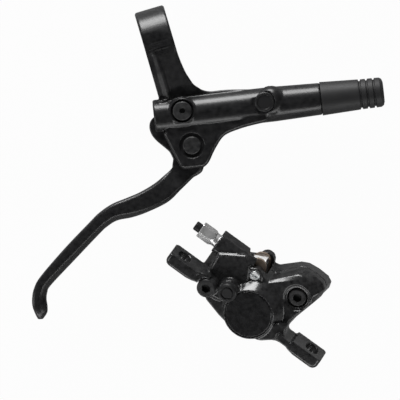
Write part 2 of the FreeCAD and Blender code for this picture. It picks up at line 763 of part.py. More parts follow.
# The push rod and the piston.

rod_spin = FreeCAD.Rotation(ZDIR, math.degrees(rod_rise))
rod_there = FreeCAD.Placement(Vec(arm_tip_s, arm_tip_t, 0), rod_spin)
rod = fuse([
    cyl(rod_radius, rod_length + 1.6, -1.6, 0, 0, XDIR),
    Part.makeSphere(rod_ball_radius, Vec(rod_length, 0, 0)),
])
rod = rod.cut(hexagon(rod_socket, 2.0, -1.7, 0, 0, XDIR))
rod.Placement = rod_there
save(on_barrel(rod), "push_rod")
nut = cyl(arm_nut_radius, 2 * arm_half, 0, 0, -arm_half)
nut = nut.cut(cyl(rod_radius + 0.02, 10, -5, 0, 0, XDIR))
nut.Placement = rod_there
save(on_barrel(nut), "barrel_nut")

first_seal = piston_start + 3.6
second_seal = piston_start + 12.4
piston_end = piston_start + piston_length
piston = turned([
    (piston_start, 0), (piston_start, piston_land_radius - 0.3), (piston_start + 0.3, piston_land_radius),
    (first_seal, piston_land_radius), (first_seal, seal_inner_radius),
    (first_seal + seal_width, seal_inner_radius),
    (first_seal + seal_width, piston_land_radius), (first_seal + seal_width + 0.8, piston_land_radius),
    (first_seal + seal_width + 1.3, piston_waist_radius), (second_seal - 1.5, piston_waist_radius),
    (second_seal - 1.0, piston_land_radius), (second_seal, piston_land_radius),
    (second_seal, seal_inner_radius),
    (second_seal + seal_width, seal_inner_radius), (second_seal + seal_width, piston_land_radius - 0.3),
    (second_seal + seal_width + 0.7, piston_land_radius - 0.3), (second_seal + seal_width + 0.7, 2.4),
    (piston_end, 2.4), (piston_end, 0),
])
socket_ball = Part.makeSphere(rod_ball_radius + rod_ball_room, Vec(ball_s, 0, 0))
socket_mouth = Part.makeCone(3.3, rod_ball_radius + rod_ball_room - 0.05, ball_s - piston_start + 0.1,
                             Vec(piston_start - 0.1, 0, 0), XDIR)
piston = cut(piston, [socket_ball, socket_mouth])
save(on_barrel(piston), "master_piston")


def cup_seal(at):
    lip = turned([
        (at + 0.1, seal_inner_radius + 0.02), (at + 0.1, seal_radius - 0.25), (at + 1.0, seal_radius - 0.12),
        (at + seal_width - 0.2, seal_radius), (at + seal_width - 0.5, seal_radius - 0.5),
        (at + 1.2, seal_radius - 0.75), (at + seal_width - 0.6, seal_inner_radius + 0.3),
        (at + seal_width - 0.3, seal_inner_radius + 0.02),
    ])
    return lip


save(on_barrel(cup_seal(second_seal)), "primary_cup_seal")
save(on_barrel(cup_seal(first_seal)), "secondary_cup_seal")

clip = ring(ring_clip_radius, ring_clip_inner, ring_clip_thickness, ring_groove_s + ring_side_gap, 0, 0, XDIR)
clip = clip.cut(box(ring_groove_s - 1, ring_groove_s + 3, -8, 0, -2.2, 2.2))
save(on_barrel(clip), "piston_retaining_ring")

spring_start = second_seal + seal_width + 1.3
spring_length = piston_bore_end - spring_start - spring_wire_radius - 0.15
helix = Part.makeHelix(spring_length / spring_turns, spring_length, spring_coil_radius)
wire_corners = []
for k in range(7):
    a = math.radians(60.0 * k)
    wire_corners.append(Vec(spring_coil_radius + spring_wire_radius * math.cos(a), 0,
                            spring_wire_radius * math.sin(a)))
coil = Part.Wire(helix.Edges).makePipeShell([Part.makePolygon(wire_corners)], True, True)
coil.Placement = FreeCAD.Placement(Vec(spring_start, 0, 0), FreeCAD.Rotation(ZDIR, XDIR))
save(on_barrel(coil), "piston_return_spring")

# The two caliper halves.


def on_radial(shape):
    """Move a shape drawn with x along the rotor, y away from the hub and the
    bore centre as origin into the caliper frame."""
    spin = FreeCAD.Rotation(ZDIR, radial_lean_deg)
    there = FreeCAD.Placement(Vec(bore_u, bore_v, 0), spin)
    moved = shape.copy()
    moved.Placement = there.multiply(moved.Placement)
    return moved


near_face_w = rotor_w + half_thickness
far_face_w = rotor_w - half_thickness
slope_start_w = near_face_w - 6.5
shoulder_w = near_face_w - 2.0

# Casting outlines. Each half draws in from the split towards its outer face. All
# run round the same corners in turn.
far_outline = [
    (-25.0, -7.0), (-28.0, -4.0), (-28.2, 8.0), (-27.0, 12.4), (-13.0, 13.4), (-10.4, 15.0), (-1.0, 16.4),
    (1.6, 17.0), (9.2, 24.8), (12.6, 26.6), (18.0, 27.2), (23.4, 26.9), (26.2, 25.4), (27.0, 22.4),
    (24.4, 11.0),
    (23.0, 4.6), (22.4, -2.0), (17.6, -9.4), (10.0, -15.0), (0.0, -17.2), (-8.0, -14.4), (-17.0, -10.8),
]
split_outline = [
    (-25.0, -7.0), (-28.0, -4.0), (-28.2, 8.0), (-27.0, 12.4), (-12.0, 15.5), (-10.0, 16.0), (-1.0, 16.0),
    (1.8, 15.6), (9.8, 26.0), (12.8, 27.6), (18.0, 28.2), (23.0, 27.6), (25.6, 25.6), (26.2, 21.8),
    (23.8, 12.0),
    (22.0, 4.5), (21.8, -2.0), (17.6, -9.2), (10.0, -14.8), (0.0, -17.1), (-8.0, -14.9), (-17.0, -12.0),
]
shoulder_outline = [
    (-23.9, -7.6), (-25.2, -4.0), (-25.0, 8.0), (-23.4, 13.0), (-12.0, 15.0), (-9.8, 15.8), (-1.2, 15.2),
    (1.4, 14.3), (11.0, 25.0), (13.4, 26.0), (17.6, 26.3), (21.8, 25.4), (24.2, 23.4), (25.0, 18.6),
    (23.4, 12.0),
    (21.5, 4.2), (21.4, -2.0), (17.0, -8.8), (10.0, -14.3), (0.0, -16.6), (-8.0, -15.0), (-17.0, -12.6),
]
face_outline = [
    (-23.6, -7.8), (-24.7, -4.0), (-24.4, 7.5), (-22.4, 12.6), (-12.0, 14.4), (-9.6, 15.2), (-1.6, 14.4),
    (2.2, 13.6), (12.4, 23.1), (14.4, 23.6), (17.4, 23.6), (20.6, 22.8), (22.8, 21.0), (23.8, 18.0),
    (22.6, 12.0),
    (20.8, 4.0), (20.8, -2.0), (16.4, -8.2), (9.8, -13.6), (0.0, -15.8), (-8.0, -14.4), (-16.6, -11.8),
]


def sloped(outline0, w0, outline1, w1):
    wires = []
    for outline, w in ((outline0, w0), (outline1, w1)):
        pts = [Vec(u, v, w) for u, v in outline]
        pts.append(pts[0])
        wires.append(Part.makePolygon(pts))
    return Part.makeLoft(wires, True, True)


def tab(side):
    """Post-mount tab: a seat faced flat on top round the slot stands above the
    neck, the underside rises to the root, and the outer end is rounded below."""
    u0 = 20.0
    u1 = tab_end_u
    half = tab_depth / 2.0
    low = -tab_thickness
    seat_u = hole_spacing / 2.0 - tab_seat_half
    flat_u = hole_spacing / 2.0 - 6.0
    root_u = flat_u - 5.0
    shape = prism([(u0, -tab_seat_rise), (seat_u - 0.5, -tab_seat_rise), (seat_u, 0), (u1, 0), (u1, low),
                   (flat_u, low), (root_u, low + tab_root_rise), (u0, low + tab_root_rise)], -half, half)
    ends = edges_on(shape, lambda e: abs(e.CenterOfMass.x - u1) < 0.01)
    shape = shape.makeFillet(tab_end_round, [e for e in ends if abs(e.CenterOfMass.y - low) < 0.01])
    ends = edges_on(shape, lambda e: abs(e.CenterOfMass.x - u1) < 0.01)
    shape = shape.makeChamfer(tab_corner, [e for e in ends if abs(abs(e.CenterOfMass.z) - half) < 0.01])
    if side < 0:
        shape = shape.mirror(Vec(0, 0, 0), XDIR)
    return shape


def tab_slot(side):
    u = side * hole_spacing / 2.0
    reach = tab_slot_travel / 2.0
    return fuse([
        cyl(tab_slot_radius, 20, u, 10, -reach, Vec(0, -1, 0)),
        cyl(tab_slot_radius, 20, u, 10, reach, Vec(0, -1, 0)),
        box(u - tab_slot_radius, u + tab_slot_radius, -10, 10, -reach, reach),
    ])


bolt1_u, bolt1_v = radial_uv(-bolt_p, bolt_q)
bolt2_u, bolt2_v = radial_uv(bolt_p, bolt_q)
axle_u, axle_v = radial_uv(0, axle_q)

core = fuse([
    prism(split_outline, rotor_w, slope_start_w),
    sloped(split_outline, slope_start_w, shoulder_outline, shoulder_w),
    sloped(shoulder_outline, shoulder_w, face_outline, near_face_w),
])
# The bore's boss leans: its foot is wider than its face and set towards the hub.
boss_foot_u = bore_u + boss_base_shift * math.cos(radial + 0.25 * math.pi)
boss_foot_v = bore_v + boss_base_shift * math.sin(radial + 0.25 * math.pi)


def rim(radius, u, v, w):
    return Part.Wire([Part.makeCircle(radius, Vec(u, v, w), ZDIR)])


boss_neck_w = cap_face_w - boss_edge
boss_cone = Part.makeLoft([
    rim(boss_base_radius, boss_foot_u, boss_foot_v, near_face_w - 1.0),
    rim(boss_face_radius, bore_u, bore_v, boss_neck_w),
    rim(boss_face_radius - boss_edge, bore_u, bore_v, cap_face_w),
], True, True)
left_boss_radius = left_bolt_head_radius + bolt_head_gap
bolt1_boss = cyl(left_boss_radius, left_bolt_seat_w - rotor_w, bolt1_u, bolt1_v, rotor_w)
axle_lug = cyl(axle_lug_radius, 6.0, axle_u, axle_v, near_face_w - 5.2)
nipple_boss = cyl(nipple_boss_radius, nipple_boss_top_w - slope_start_w, nipple_u, nipple_v, slope_start_w)
plateau = prism([
    (-25.4, 11.4), (-14.2, 18.9), (-10.0, 16.0), (-4.0, 4.0), (-12.0, -8.0), (-16.6, -9.0), (-20.6, -5.0),
    (-24.6, 2.0),
], near_face_w - 2.0, plateau_w)
plateau = plateau.makeChamfer(
    plateau_edge,
    edges_on(plateau, lambda e: abs(e.CenterOfMass.z - plateau_w) < 0.01 and e.CenterOfMass.x < -14)
)

hose_boss_right_u = -8.5
hose_boss = box(hose_boss_end_u, hose_boss_right_u, hose_v - hose_boss_half, hose_v + hose_boss_half,
                hose_w - hose_boss_top - 0.2, hose_w + hose_boss_top)
hose_boss = hose_boss.makeChamfer(
    2.2, edges_on(hose_boss, lambda e: abs(abs(e.CenterOfMass.y - hose_v) - hose_boss_half) < 0.01
                  and e.CenterOfMass.z > hose_w + hose_boss_top - 0.1
                  and abs(e.CenterOfMass.x - hose_boss_end_u) > 1)
)
tab_web_left = prism([(-30.0, -5.2), (-30.0, -0.3), (-24.0, 1.5), (-18.0, 0.0), (-17.0, -6.0), (-25.4, -4.6)],
                     -7.4, 6.6)
tab_web_right = smooth_prism([
    [(27.6, -5.5), (27.6, -1.6)],
    [(27.6, -1.6), (24.4, -1.55), (22.5, -0.9), (21.7, 0.9), (21.5, 2.6)],
    [(21.5, 2.6), (17.0, 2.0)],
    [(17.0, 2.0), (12.0, -6.0)],
    [(12.0, -6.0), (13.0, -11.4)],
    [(13.0, -11.4), (16.4, -9.4), (18.6, -7.4), (20.8, -6.1), (23.4, -5.5), (27.6, -5.5)],
], -7.4, 4.6)

outboard = fuse([core, boss_cone, bolt1_boss, axle_lug, nipple_boss, plateau, hose_boss,
                 tab(-1), tab(1), tab_web_left, tab_web_right])

foot_top_w = far_face_w + 2.0
foot = prism(far_outline, far_face_w, foot_top_w)
foot = foot.makeChamfer(1.0, edges_on(foot, lambda e: abs(e.CenterOfMass.z - far_face_w) < 0.01))
inboard = fuse([foot, sloped(far_outline, foot_top_w, split_outline, rotor_w)])
far_boss = Part.makeCone(inboard_boss_radius, inboard_boss_radius + 0.6, far_face_w + 1.0 - inboard_boss_w,
                         Vec(bore_u, bore_v, inboard_boss_w), ZDIR)
far_lug = cyl(axle_lug_radius, half_thickness - pocket_half, axle_u + 0.25, axle_v + 3.2, far_face_w)
inboard = fuse([inboard, far_boss, far_lug])
landing = on_caliper(inboard).cut(box(-120, 120, -260, -60, -80, ground_z))

pad_room = pad_half_width + pad_side_room
ear_room = pad_ear_half + pad_ear_room
pocket = on_radial(prism([
    (-pad_room, -40.0), (pad_room, -40.0), (pad_room, 6.4), (pad_room - 3.0, 9.6), (ear_room, 10.6),
    (ear_room, 40.0), (-ear_room, 40.0), (-ear_room, 10.6), (3.0 - pad_room, 9.6), (-pad_room, 6.4),
], rotor_w - pocket_half, rotor_w + pocket_half))
rotor_room_half = rotor_slot_half + rotor_room_side
rotor_room = on_radial(cyl(rotor_radius + rotor_room_radial, 2 * rotor_room_half, 0, rotor_centre_q,
                           rotor_w - rotor_room_half))
near_bore = on_radial(cyl(caliper_bore_radius, 40, 0, 0, rotor_w))
far_bore_end = rotor_w - pocket_half - caliper_piston_depth - fluid_room
far_bore = on_radial(cyl(caliper_bore_radius, rotor_w - far_bore_end, 0, 0, far_bore_end))
cap_hole = on_radial(cyl(bore_cap_radius + fit_gap, 20, 0, 0, cap_face_w - bore_cap_thickness - 0.2))
seal_groove_radius = caliper_bore_radius + seal_groove_depth
seal_groove_width = seal_thickness + 0.2
groove_in = pocket_half + 1.9
near_groove = on_radial(cyl(seal_groove_radius, seal_groove_width, 0, 0, rotor_w + groove_in))
far_groove = on_radial(cyl(seal_groove_radius, seal_groove_width, 0, 0,
                           rotor_w - groove_in - seal_groove_width))
bolt1_hole = cyl(body_bolt_radius + fit_gap, 30, bolt1_u, bolt1_v, far_face_w + 1.8)
bolt2_hole = cyl(body_bolt_radius + fit_gap, 30, bolt2_u, bolt2_v, far_face_w + 1.8)
bolt2_recess = cyl(body_bolt_head_radius + right_bolt_recess_gap, 20, bolt2_u, bolt2_v, right_bolt_seat_w)
bolt2_spot = cyl(right_spot_radius, 20, bolt2_u, bolt2_v, near_face_w - right_spot_depth)
bolt1_room = cyl(left_boss_radius, 20, bolt1_u, bolt1_v, left_bolt_seat_w)
axle_hole = cyl(axle_radius + fit_gap, 60, axle_u, axle_v, -40)
axle_head_seat = cyl(axle_head_radius + fit_gap, 10, axle_u, axle_v, near_face_w - 1.2)
hose_hole = cyl(hose_port_radius, hose_thread_length + 2.4, hose_boss_end_u - 0.5, hose_v, hose_w, XDIR)
feed_direction = Vec(16.2, -11.0, 3.6)
feed = cyl(0.9, 19.0, hose_boss_end_u + 10.5, hose_v, hose_w, feed_direction)
pass_u, pass_v = radial_uv(-14.6, 12.2)
passage = cyl(0.8, 15.0, pass_u, pass_v, rotor_w - 9.0)
passage_seat = cyl(2.0, 0.6, pass_u, pass_v, rotor_w)
clip_room = cyl(axle_clip_radius + part_gap, 6.0, axle_u, axle_v, far_face_w - 6.0)
passage_far = cyl(0.8, 14.5, pass_u, pass_v, rotor_w - 8.2, Vec(12.0, -4.5, -3.4))
nipple_hole = cyl(nipple_radius + fit_gap, 30, nipple_u, nipple_v, -3.0)
nipple_feed = cyl(0.8, 10.0, nipple_u, nipple_v, -2.6, Vec(10.0, -3.5, 0.4))

for tool in [pocket, rotor_room, near_bore, near_groove, cap_hole, bolt1_hole, bolt2_hole, bolt2_recess,
             bolt2_spot, bolt1_room, axle_hole, axle_head_seat, hose_hole, feed, passage, passage_seat,
             nipple_hole, nipple_feed, tab_slot(-1), tab_slot(1)]:
    outboard = outboard.cut(tool)
save(on_caliper(outboard.removeSplitter()), "outboard_caliper_half")

for tool in [pocket, rotor_room, far_bore, far_groove, bolt1_hole, bolt2_hole, axle_hole, clip_room, passage,
             passage_far]:
    landing = landing.cut(on_caliper(tool))
save(landing.removeSplitter(), "inboard_caliper_half")

# Fittings of the caliper.


def socket_bolt(u, v, seat_w, head_height, head_radius, shank, socket):
    bolt = fuse([
        cyl(head_radius, head_height, u, v, seat_w),
        cyl(body_bolt_radius, shank + 0.1, u, v, seat_w - shank),
    ])
    top = seat_w + head_height
    bolt = bolt.makeChamfer(0.5, edges_on(bolt, lambda e: abs(e.CenterOfMass.z - top) < 0.01))
    return bolt.cut(hexagon(socket, 3.0, u, v, top - 2.4))


bolt_foot_w = far_face_w + 2.2
left_bolt = socket_bolt(bolt1_u, bolt1_v, left_bolt_seat_w, left_bolt_head_height, left_bolt_head_radius,
                        left_bolt_seat_w - bolt_foot_w, body_bolt_socket)
save(on_caliper(left_bolt), "body_bolt_left")
right_bolt = socket_bolt(bolt2_u, bolt2_v, right_bolt_seat_w, body_bolt_head_height, body_bolt_head_radius,
                         right_bolt_seat_w - bolt_foot_w, body_bolt_socket)
save(on_caliper(right_bolt), "body_bolt_right")

bore_cap = on_radial(cyl(bore_cap_radius, bore_cap_thickness, 0, 0, cap_face_w - bore_cap_thickness))
bore_cap = bore_cap.makeChamfer(
    0.5, edges_on(bore_cap, lambda e: abs(e.CenterOfMass.z - cap_face_w) < 0.01 and len(e.Vertexes) == 1)
)
save(on_caliper(bore_cap), "bore_cap")
cap_ring = on_radial(ring(caliper_bore_radius - 0.2, caliper_bore_radius - 1.3, 0.9, 0, 0,
                          cap_face_w - bore_cap_thickness - 0.95))
save(on_caliper(cap_ring), "bore_cap_seal")


def caliper_piston(side):
    """Cup piston, open towards the pad."""
    front = rotor_w + side * (pocket_half - part_gap + 0.05)
    depth = caliper_piston_depth
    low = min(front, front + side * depth)
    cup = cyl(caliper_piston_radius, depth, 0, 0, low)
    hollow_low = front - 1 if side > 0 else front - depth + 1.9
    cup = cup.cut(cyl(caliper_piston_radius - caliper_piston_wall, depth - 0.9, 0, 0, hollow_low))
    return on_radial(cup)


save(on_caliper(caliper_piston(1)), "outboard_piston")
save(on_caliper(caliper_piston(-1)), "inboard_piston")
seal_near = on_radial(ring(seal_groove_radius - 0.05, caliper_piston_radius + 0.02, seal_thickness, 0, 0,
                           rotor_w + groove_in + 0.1))
seal_far = on_radial(ring(seal_groove_radius - 0.05, caliper_piston_radius + 0.02, seal_thickness, 0, 0,
                          rotor_w - groove_in - 0.1 - seal_thickness))
save(on_caliper(seal_near), "outboard_piston_seal")
save(on_caliper(seal_far), "inboard_piston_seal")

# Pad outlines in the radial frame: a square-shouldered plate that follows the
# rotor's rim below, with an ear round the axle above.
ph = pad_half_width
eh = pad_ear_half
ear_up = axle_q + 2.7
plate_outline = [
    [(-ph, -4.0), (-ph, 5.8)],
    [(-ph, 5.8), (2.8 - ph, 8.9)],
    [(2.8 - ph, 8.9), (-eh, 9.8)],
    [(-eh, 9.8), (-eh, ear_up)],
    [(-eh, ear_up), (0.6 - eh, ear_up + 2.2), (0.0, ear_up + 4.1), (eh - 0.6, ear_up + 2.2), (eh, ear_up)],
    [(eh, ear_up), (eh, 9.8)],
    [(eh, 9.8), (ph - 2.8, 8.9)],
    [(ph - 2.8, 8.9), (ph, 5.8)],
    [(ph, 5.8), (ph, -4.0)],
    [(ph, -4.0), (0.8 * ph, -8.8), (0.0, -11.3), (-0.8 * ph, -8.8), (-ph, -4.0)],
]
lh = pad_half_width - lining_inset
lining_outline = [
    [(-lh, -4.0), (-lh, 5.6)],
    [(-lh, 5.6), (0.0, 8.0), (lh, 5.6)],
    [(lh, 5.6), (lh, -4.0)],
    [(lh, -4.0), (0.8 * lh, -7.8), (0.0, -10.0), (-0.8 * lh, -7.8), (-lh, -4.0)],
]
axle_eye = cyl(axle_radius + 0.3, 60, 0, axle_q, -40)
for side, name in [(1, "outboard"), (-1, "inboard")]:
    near = rotor_w + side * pad_gap_to_rotor_centre
    middle = near + side * pad_lining_thickness
    back = middle + side * pad_plate_thickness
    plate = smooth_prism(plate_outline, min(middle, back), max(middle, back)).cut(axle_eye)
    save(on_caliper(on_radial(plate)), name + "_pad_plate")
    lining = smooth_prism(lining_outline, min(near, middle), max(near, middle))
    save(on_caliper(on_radial(lining)), name + "_pad_lining")

# Pad spring: a folded leaf with one leg against each plate.
leg = pad_gap_to_rotor_centre + pad_lining_thickness - 0.06
leaf = spring_leaf
fold_q = axle_q + spring_fold_rise
leg_q = axle_q - 8.9
spring_points = [
    (-leg, leg_q), (-leg, fold_q - 1.4), (-leg + 1.2, fold_q), (leg - 1.2, fold_q), (leg, fold_q - 1.4),
    (leg, leg_q), (leg - leaf, leg_q), (leg - leaf, fold_q - 1.5), (leg - 1.3, fold_q - leaf),
    (-leg + 1.3, fold_q - leaf), (-leg + leaf, fold_q - 1.5), (-leg + leaf, leg_q),
]
corners = [Vec(-spring_half_width, q, rotor_w + w) for w, q in spring_points]
corners.append(corners[0])
pad_spring = Part.Face(Part.makePolygon(corners)).extrude(Vec(2 * spring_half_width, 0, 0))
pad_spring = pad_spring.cut(cyl(axle_radius + 0.35, 60, 0, axle_q, -40))
save(on_caliper(on_radial(pad_spring)), "pad_spring")

axle_end_w = far_face_w - 2.4
axle_head_top = near_face_w + 0.9
axle = fuse([
    cyl(axle_head_radius, axle_head_top - near_face_w + 1.1, axle_u, axle_v, near_face_w - 1.1),
    cyl(axle_radius, near_face_w - 1.0 - axle_end_w, axle_u, axle_v, axle_end_w),
])
axle = axle.makeChamfer(0.5, edges_on(axle, lambda e: abs(e.CenterOfMass.z - axle_head_top) < 0.01))
axle = cut(axle, [
    box(axle_u - 4, axle_u + 4, axle_v - 0.4, axle_v + 0.4, axle_head_top - 0.8, axle_head_top + 1),
    ring(axle_radius + 0.1, axle_radius - 0.4, 0.7, axle_u, axle_v, axle_end_w + 0.8),
])
save(on_caliper(axle), "pad_axle")
clip = ring(axle_clip_radius, axle_radius - 0.35, 0.6, axle_u, axle_v, axle_end_w + 0.85)
clip = clip.cut(box(axle_u - 0.9, axle_u + 0.9, axle_v, axle_v + 6, axle_end_w, axle_end_w + 2))
save(on_caliper(clip), "pad_axle_clip")

# The connecting bolt: its hexagon is turned off at the end that meets the neck.
hex_corner = hose_hex / math.sqrt(3.0)
hex_blank = turned([
    (hose_hex_far_u, 0.0), (hose_hex_far_u, hex_corner - 0.3), (hose_hex_far_u + 0.5, hex_corner + 0.1),
    (hose_hex_near_u - hose_hex_bevel, hex_corner + 0.1), (hose_hex_near_u, hose_neck_radius + 0.1),
    (hose_hex_near_u, 0.0),
], 0.0, hose_v, hose_w)
hose_bolt = fuse([
    hexagon(hose_hex, hose_hex_length, hose_hex_far_u, hose_v, hose_w, XDIR).common(hex_blank),
    cyl(hose_neck_radius, hose_neck_length + 0.1, hose_hex_near_u - 0.1, hose_v, hose_w, XDIR),
    cyl(hose_port_radius - fit_gap, hose_thread_length, hose_boss_end_u - 0.1, hose_v, hose_w, XDIR),
])
hose_bolt = hose_bolt.cut(cyl(plug_radius + fit_gap, 40, hose_hex_far_u - 11.3, hose_v, hose_w, XDIR))
save(on_caliper(hose_bolt), "hose_connecting_bolt")
plug_end_u = hose_hex_far_u - plug_reach
plug = cyl(plug_radius, plug_reach + plug_depth, plug_end_u, hose_v, hose_w, XDIR)
plug = plug.makeChamfer(0.4, edges_on(plug, lambda e: abs(e.CenterOfMass.x - plug_end_u) < 0.01))
save(on_caliper(plug), "hose_port_plug")

nipple_foot_w = -2.0
nipple = fuse([
    cyl(nipple_radius, nipple_boss_top_w + 0.1 - nipple_foot_w, nipple_u, nipple_v, nipple_foot_w),
    hexagon(nipple_hex, nipple_hex_height, nipple_u, nipple_v, nipple_boss_top_w + 0.05),
    cyl(nipple_tip_radius, nipple_tip_height + 0.2, nipple_u, nipple_v, nipple_boss_top_w - 0.2),
])
nipple = nipple.cut(cyl(0.6, 20, nipple_u, nipple_v, nipple_foot_w - 0.5))
save(on_caliper(nipple), "bleed_nipple")
nipple_cap = cyl(nipple_cap_radius, nipple_cap_top_w - nipple_boss_top_w - 0.05, nipple_u, nipple_v,
                 nipple_boss_top_w + 0.05)
nipple_cap = nipple_cap.makeChamfer(
    0.6, edges_on(nipple_cap, lambda e: abs(e.CenterOfMass.z - nipple_cap_top_w) < 0.01)
)
nipple_hex_room = nipple_hex / math.sqrt(3.0) + 0.14
nipple_cap = cut(nipple_cap, [
    cyl(nipple_hex_room, nipple_hex_height + 0.1, nipple_u, nipple_v, nipple_boss_top_w),
    cyl(nipple_tip_radius + 0.1, nipple_tip_height + nipple_cap_room, nipple_u, nipple_v, nipple_boss_top_w),
    ring(nipple_hex_room - 0.5, nipple_hex_room - 1.1, 1.0, nipple_u, nipple_v, nipple_cap_top_w - 0.5),
])
save(on_caliper(nipple_cap), "bleed_nipple_cap")

o_ring = turned([(0.02, 1.05), (0.02, 1.65), (0.3, 1.9), (0.58, 1.65), (0.58, 1.05), (0.3, 0.9)],
                pass_u, pass_v, rotor_w, ZDIR)
save(on_caliper(o_ring), "passage_o_ring")
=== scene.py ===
import bpy
import bmesh
import json
import math
from mathutils import Matrix, Vector

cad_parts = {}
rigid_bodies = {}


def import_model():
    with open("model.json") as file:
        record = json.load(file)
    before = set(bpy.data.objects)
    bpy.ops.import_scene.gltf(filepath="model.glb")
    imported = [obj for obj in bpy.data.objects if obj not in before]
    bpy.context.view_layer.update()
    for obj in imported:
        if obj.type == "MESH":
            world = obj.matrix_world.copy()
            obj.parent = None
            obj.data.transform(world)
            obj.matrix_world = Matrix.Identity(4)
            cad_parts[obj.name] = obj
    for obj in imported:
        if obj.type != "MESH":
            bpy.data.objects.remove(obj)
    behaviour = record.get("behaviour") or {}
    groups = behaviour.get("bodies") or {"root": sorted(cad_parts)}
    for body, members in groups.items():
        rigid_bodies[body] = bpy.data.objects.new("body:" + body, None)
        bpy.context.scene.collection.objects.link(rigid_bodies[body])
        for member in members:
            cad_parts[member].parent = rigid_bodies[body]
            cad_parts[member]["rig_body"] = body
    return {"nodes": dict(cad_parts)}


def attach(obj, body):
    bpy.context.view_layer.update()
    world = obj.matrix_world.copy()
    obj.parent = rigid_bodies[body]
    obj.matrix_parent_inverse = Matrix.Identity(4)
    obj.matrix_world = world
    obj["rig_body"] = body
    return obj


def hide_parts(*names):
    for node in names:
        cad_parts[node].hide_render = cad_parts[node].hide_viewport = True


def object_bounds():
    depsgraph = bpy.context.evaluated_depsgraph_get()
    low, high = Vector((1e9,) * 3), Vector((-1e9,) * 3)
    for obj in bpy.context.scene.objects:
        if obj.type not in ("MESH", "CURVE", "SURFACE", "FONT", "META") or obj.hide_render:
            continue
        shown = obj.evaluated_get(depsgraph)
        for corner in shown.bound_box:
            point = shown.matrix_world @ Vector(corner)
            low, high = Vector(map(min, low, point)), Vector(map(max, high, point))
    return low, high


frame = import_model()
cad_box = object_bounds()
nodes = frame["nodes"]
scene = bpy.context.scene

# Directions of the photograph in the frame of the set, in metres: it is seen straight
# from above, turned so that the handlebar bore rises to the right.
ROLL = math.radians(-16.5)
RIGHT = Vector((math.cos(ROLL), math.sin(ROLL), 0.0))
UP = Vector((-math.sin(ROLL), math.cos(ROLL), 0.0))
TOWARD = Vector((0.0, 0.0, 1.0))
CENTRE = Vector((-0.0024, -0.0783, 0.0))
PHOTO_WIDTH = 0.1902
GROUND = cad_box[0][2]


# Materials. Lengths are in metres, and the scale of a noise counts its waves in a metre.

# Most of a noise lies between these two values.
NOISE_LOW = 0.25
NOISE_HIGH = 0.75

# The colour sockets of a Mix node, which share their names with its other sockets.
MIX_A = 6
MIX_B = 7
MIX_RESULT = 2

BEVEL_SAMPLES = 6


class Nodes:
    """A material's node tree with short calls for the nodes used here."""

    def __init__(self, name):
        self.material = bpy.data.materials.new(name)
        self.material.use_nodes = True
        self.tree = self.material.node_tree
        self.shader = self.tree.nodes["Principled BSDF"]
        self.coords = self.tree.nodes.new("ShaderNodeTexCoord").outputs["Object"]

    def link(self, a, b):
        self.tree.links.new(a, b)

    def into(self, value, socket):
        """Link a value to a socket of the shader, or set it there if it is a number."""
        if isinstance(value, (int, float)):
            self.shader.inputs[socket].default_value = value
        else:
            self.link(value, self.shader.inputs[socket])

    def noise(self, scale, detail=3.0, rough=0.55):
        n = self.tree.nodes.new("ShaderNodeTexNoise")
        n.inputs["Scale"].default_value = scale
        n.inputs["Detail"].default_value = detail
        n.inputs["Roughness"].default_value = rough
        self.link(self.coords, n.inputs["Vector"])
        return n.outputs["Fac"]

    def grains(self, scale):
        n = self.tree.nodes.new("ShaderNodeTexVoronoi")
        n.inputs["Scale"].default_value = scale
        self.link(self.coords, n.inputs["Vector"])
        return n.outputs["Distance"]

    def remap(self, value, low, high, from_low=NOISE_LOW, from_high=NOISE_HIGH):
        n = self.tree.nodes.new("ShaderNodeMapRange")
        n.inputs["From Min"].default_value = from_low
        n.inputs["From Max"].default_value = from_high
        n.inputs["To Min"].default_value = low
        n.inputs["To Max"].default_value = high
        self.link(value, n.inputs["Value"])
        return n.outputs["Result"]

    def combine(self, kind, a, b):
        n = self.tree.nodes.new("ShaderNodeMath")
        n.operation = kind
        for socket, value in zip(n.inputs, (a, b)):
            if isinstance(value, (int, float)):
                socket.default_value = value
            else:
                self.link(value, socket)
        return n.outputs[0]

    def mix(self, share, a, b):
        n = self.tree.nodes.new("ShaderNodeMix")
        n.data_type = "RGBA"
        self.link(share, n.inputs["Factor"])
        for socket, value in ((n.inputs[MIX_A], a), (n.inputs[MIX_B], b)):
            if isinstance(value, tuple):
                socket.default_value = (*value, 1.0)
            else:
                self.link(value, socket)
        return n.outputs[MIX_RESULT]

    def soft_normal(self, radius):
        n = self.tree.nodes.new("ShaderNodeBevel")
        n.samples = BEVEL_SAMPLES
        n.inputs["Radius"].default_value = radius
        return n.outputs["Normal"]

    def corner_shade_mask(self, radius, corner, flat):
        """1 on open surface, falling to 0 along a sharp corner, where a darker colour is kept as painted
        shade.

        corner and flat say how well the normal rounded over that radius agrees with the
        true one where the result is 0 and where it is 1.
        """
        g = self.tree.nodes.new("ShaderNodeNewGeometry")
        d = self.tree.nodes.new("ShaderNodeVectorMath")
        d.operation = "DOT_PRODUCT"
        self.link(self.soft_normal(radius), d.inputs[0])
        self.link(g.outputs["Normal"], d.inputs[1])
        return self.remap(d.outputs["Value"], 0.0, 1.0, from_low=corner, from_high=flat)

    def bump(self, height, depth, strength, normal=None):
        n = self.tree.nodes.new("ShaderNodeBump")
        n.inputs["Distance"].default_value = depth
        n.inputs["Strength"].default_value = strength
        self.link(height, n.inputs["Height"])
        if normal is not None:
            self.link(normal, n.inputs["Normal"])
        return n.outputs["Normal"]


def lighter(colour, gain):
    return tuple(min(1.0, c * gain) for c in colour)


# How sharp a corner must be to keep the darker colour as painted shade, for paint, metal and rubber.
PAINT_CORNER_SHADE = {"radius": 0.00035, "corner": 0.80, "flat": 0.995}
METAL_CORNER_SHADE = {"radius": 0.0003, "corner": 0.75, "flat": 0.99}
RUBBER_CORNER_SHADE = {"radius": 0.0004, "corner": 0.80, "flat": 0.99}


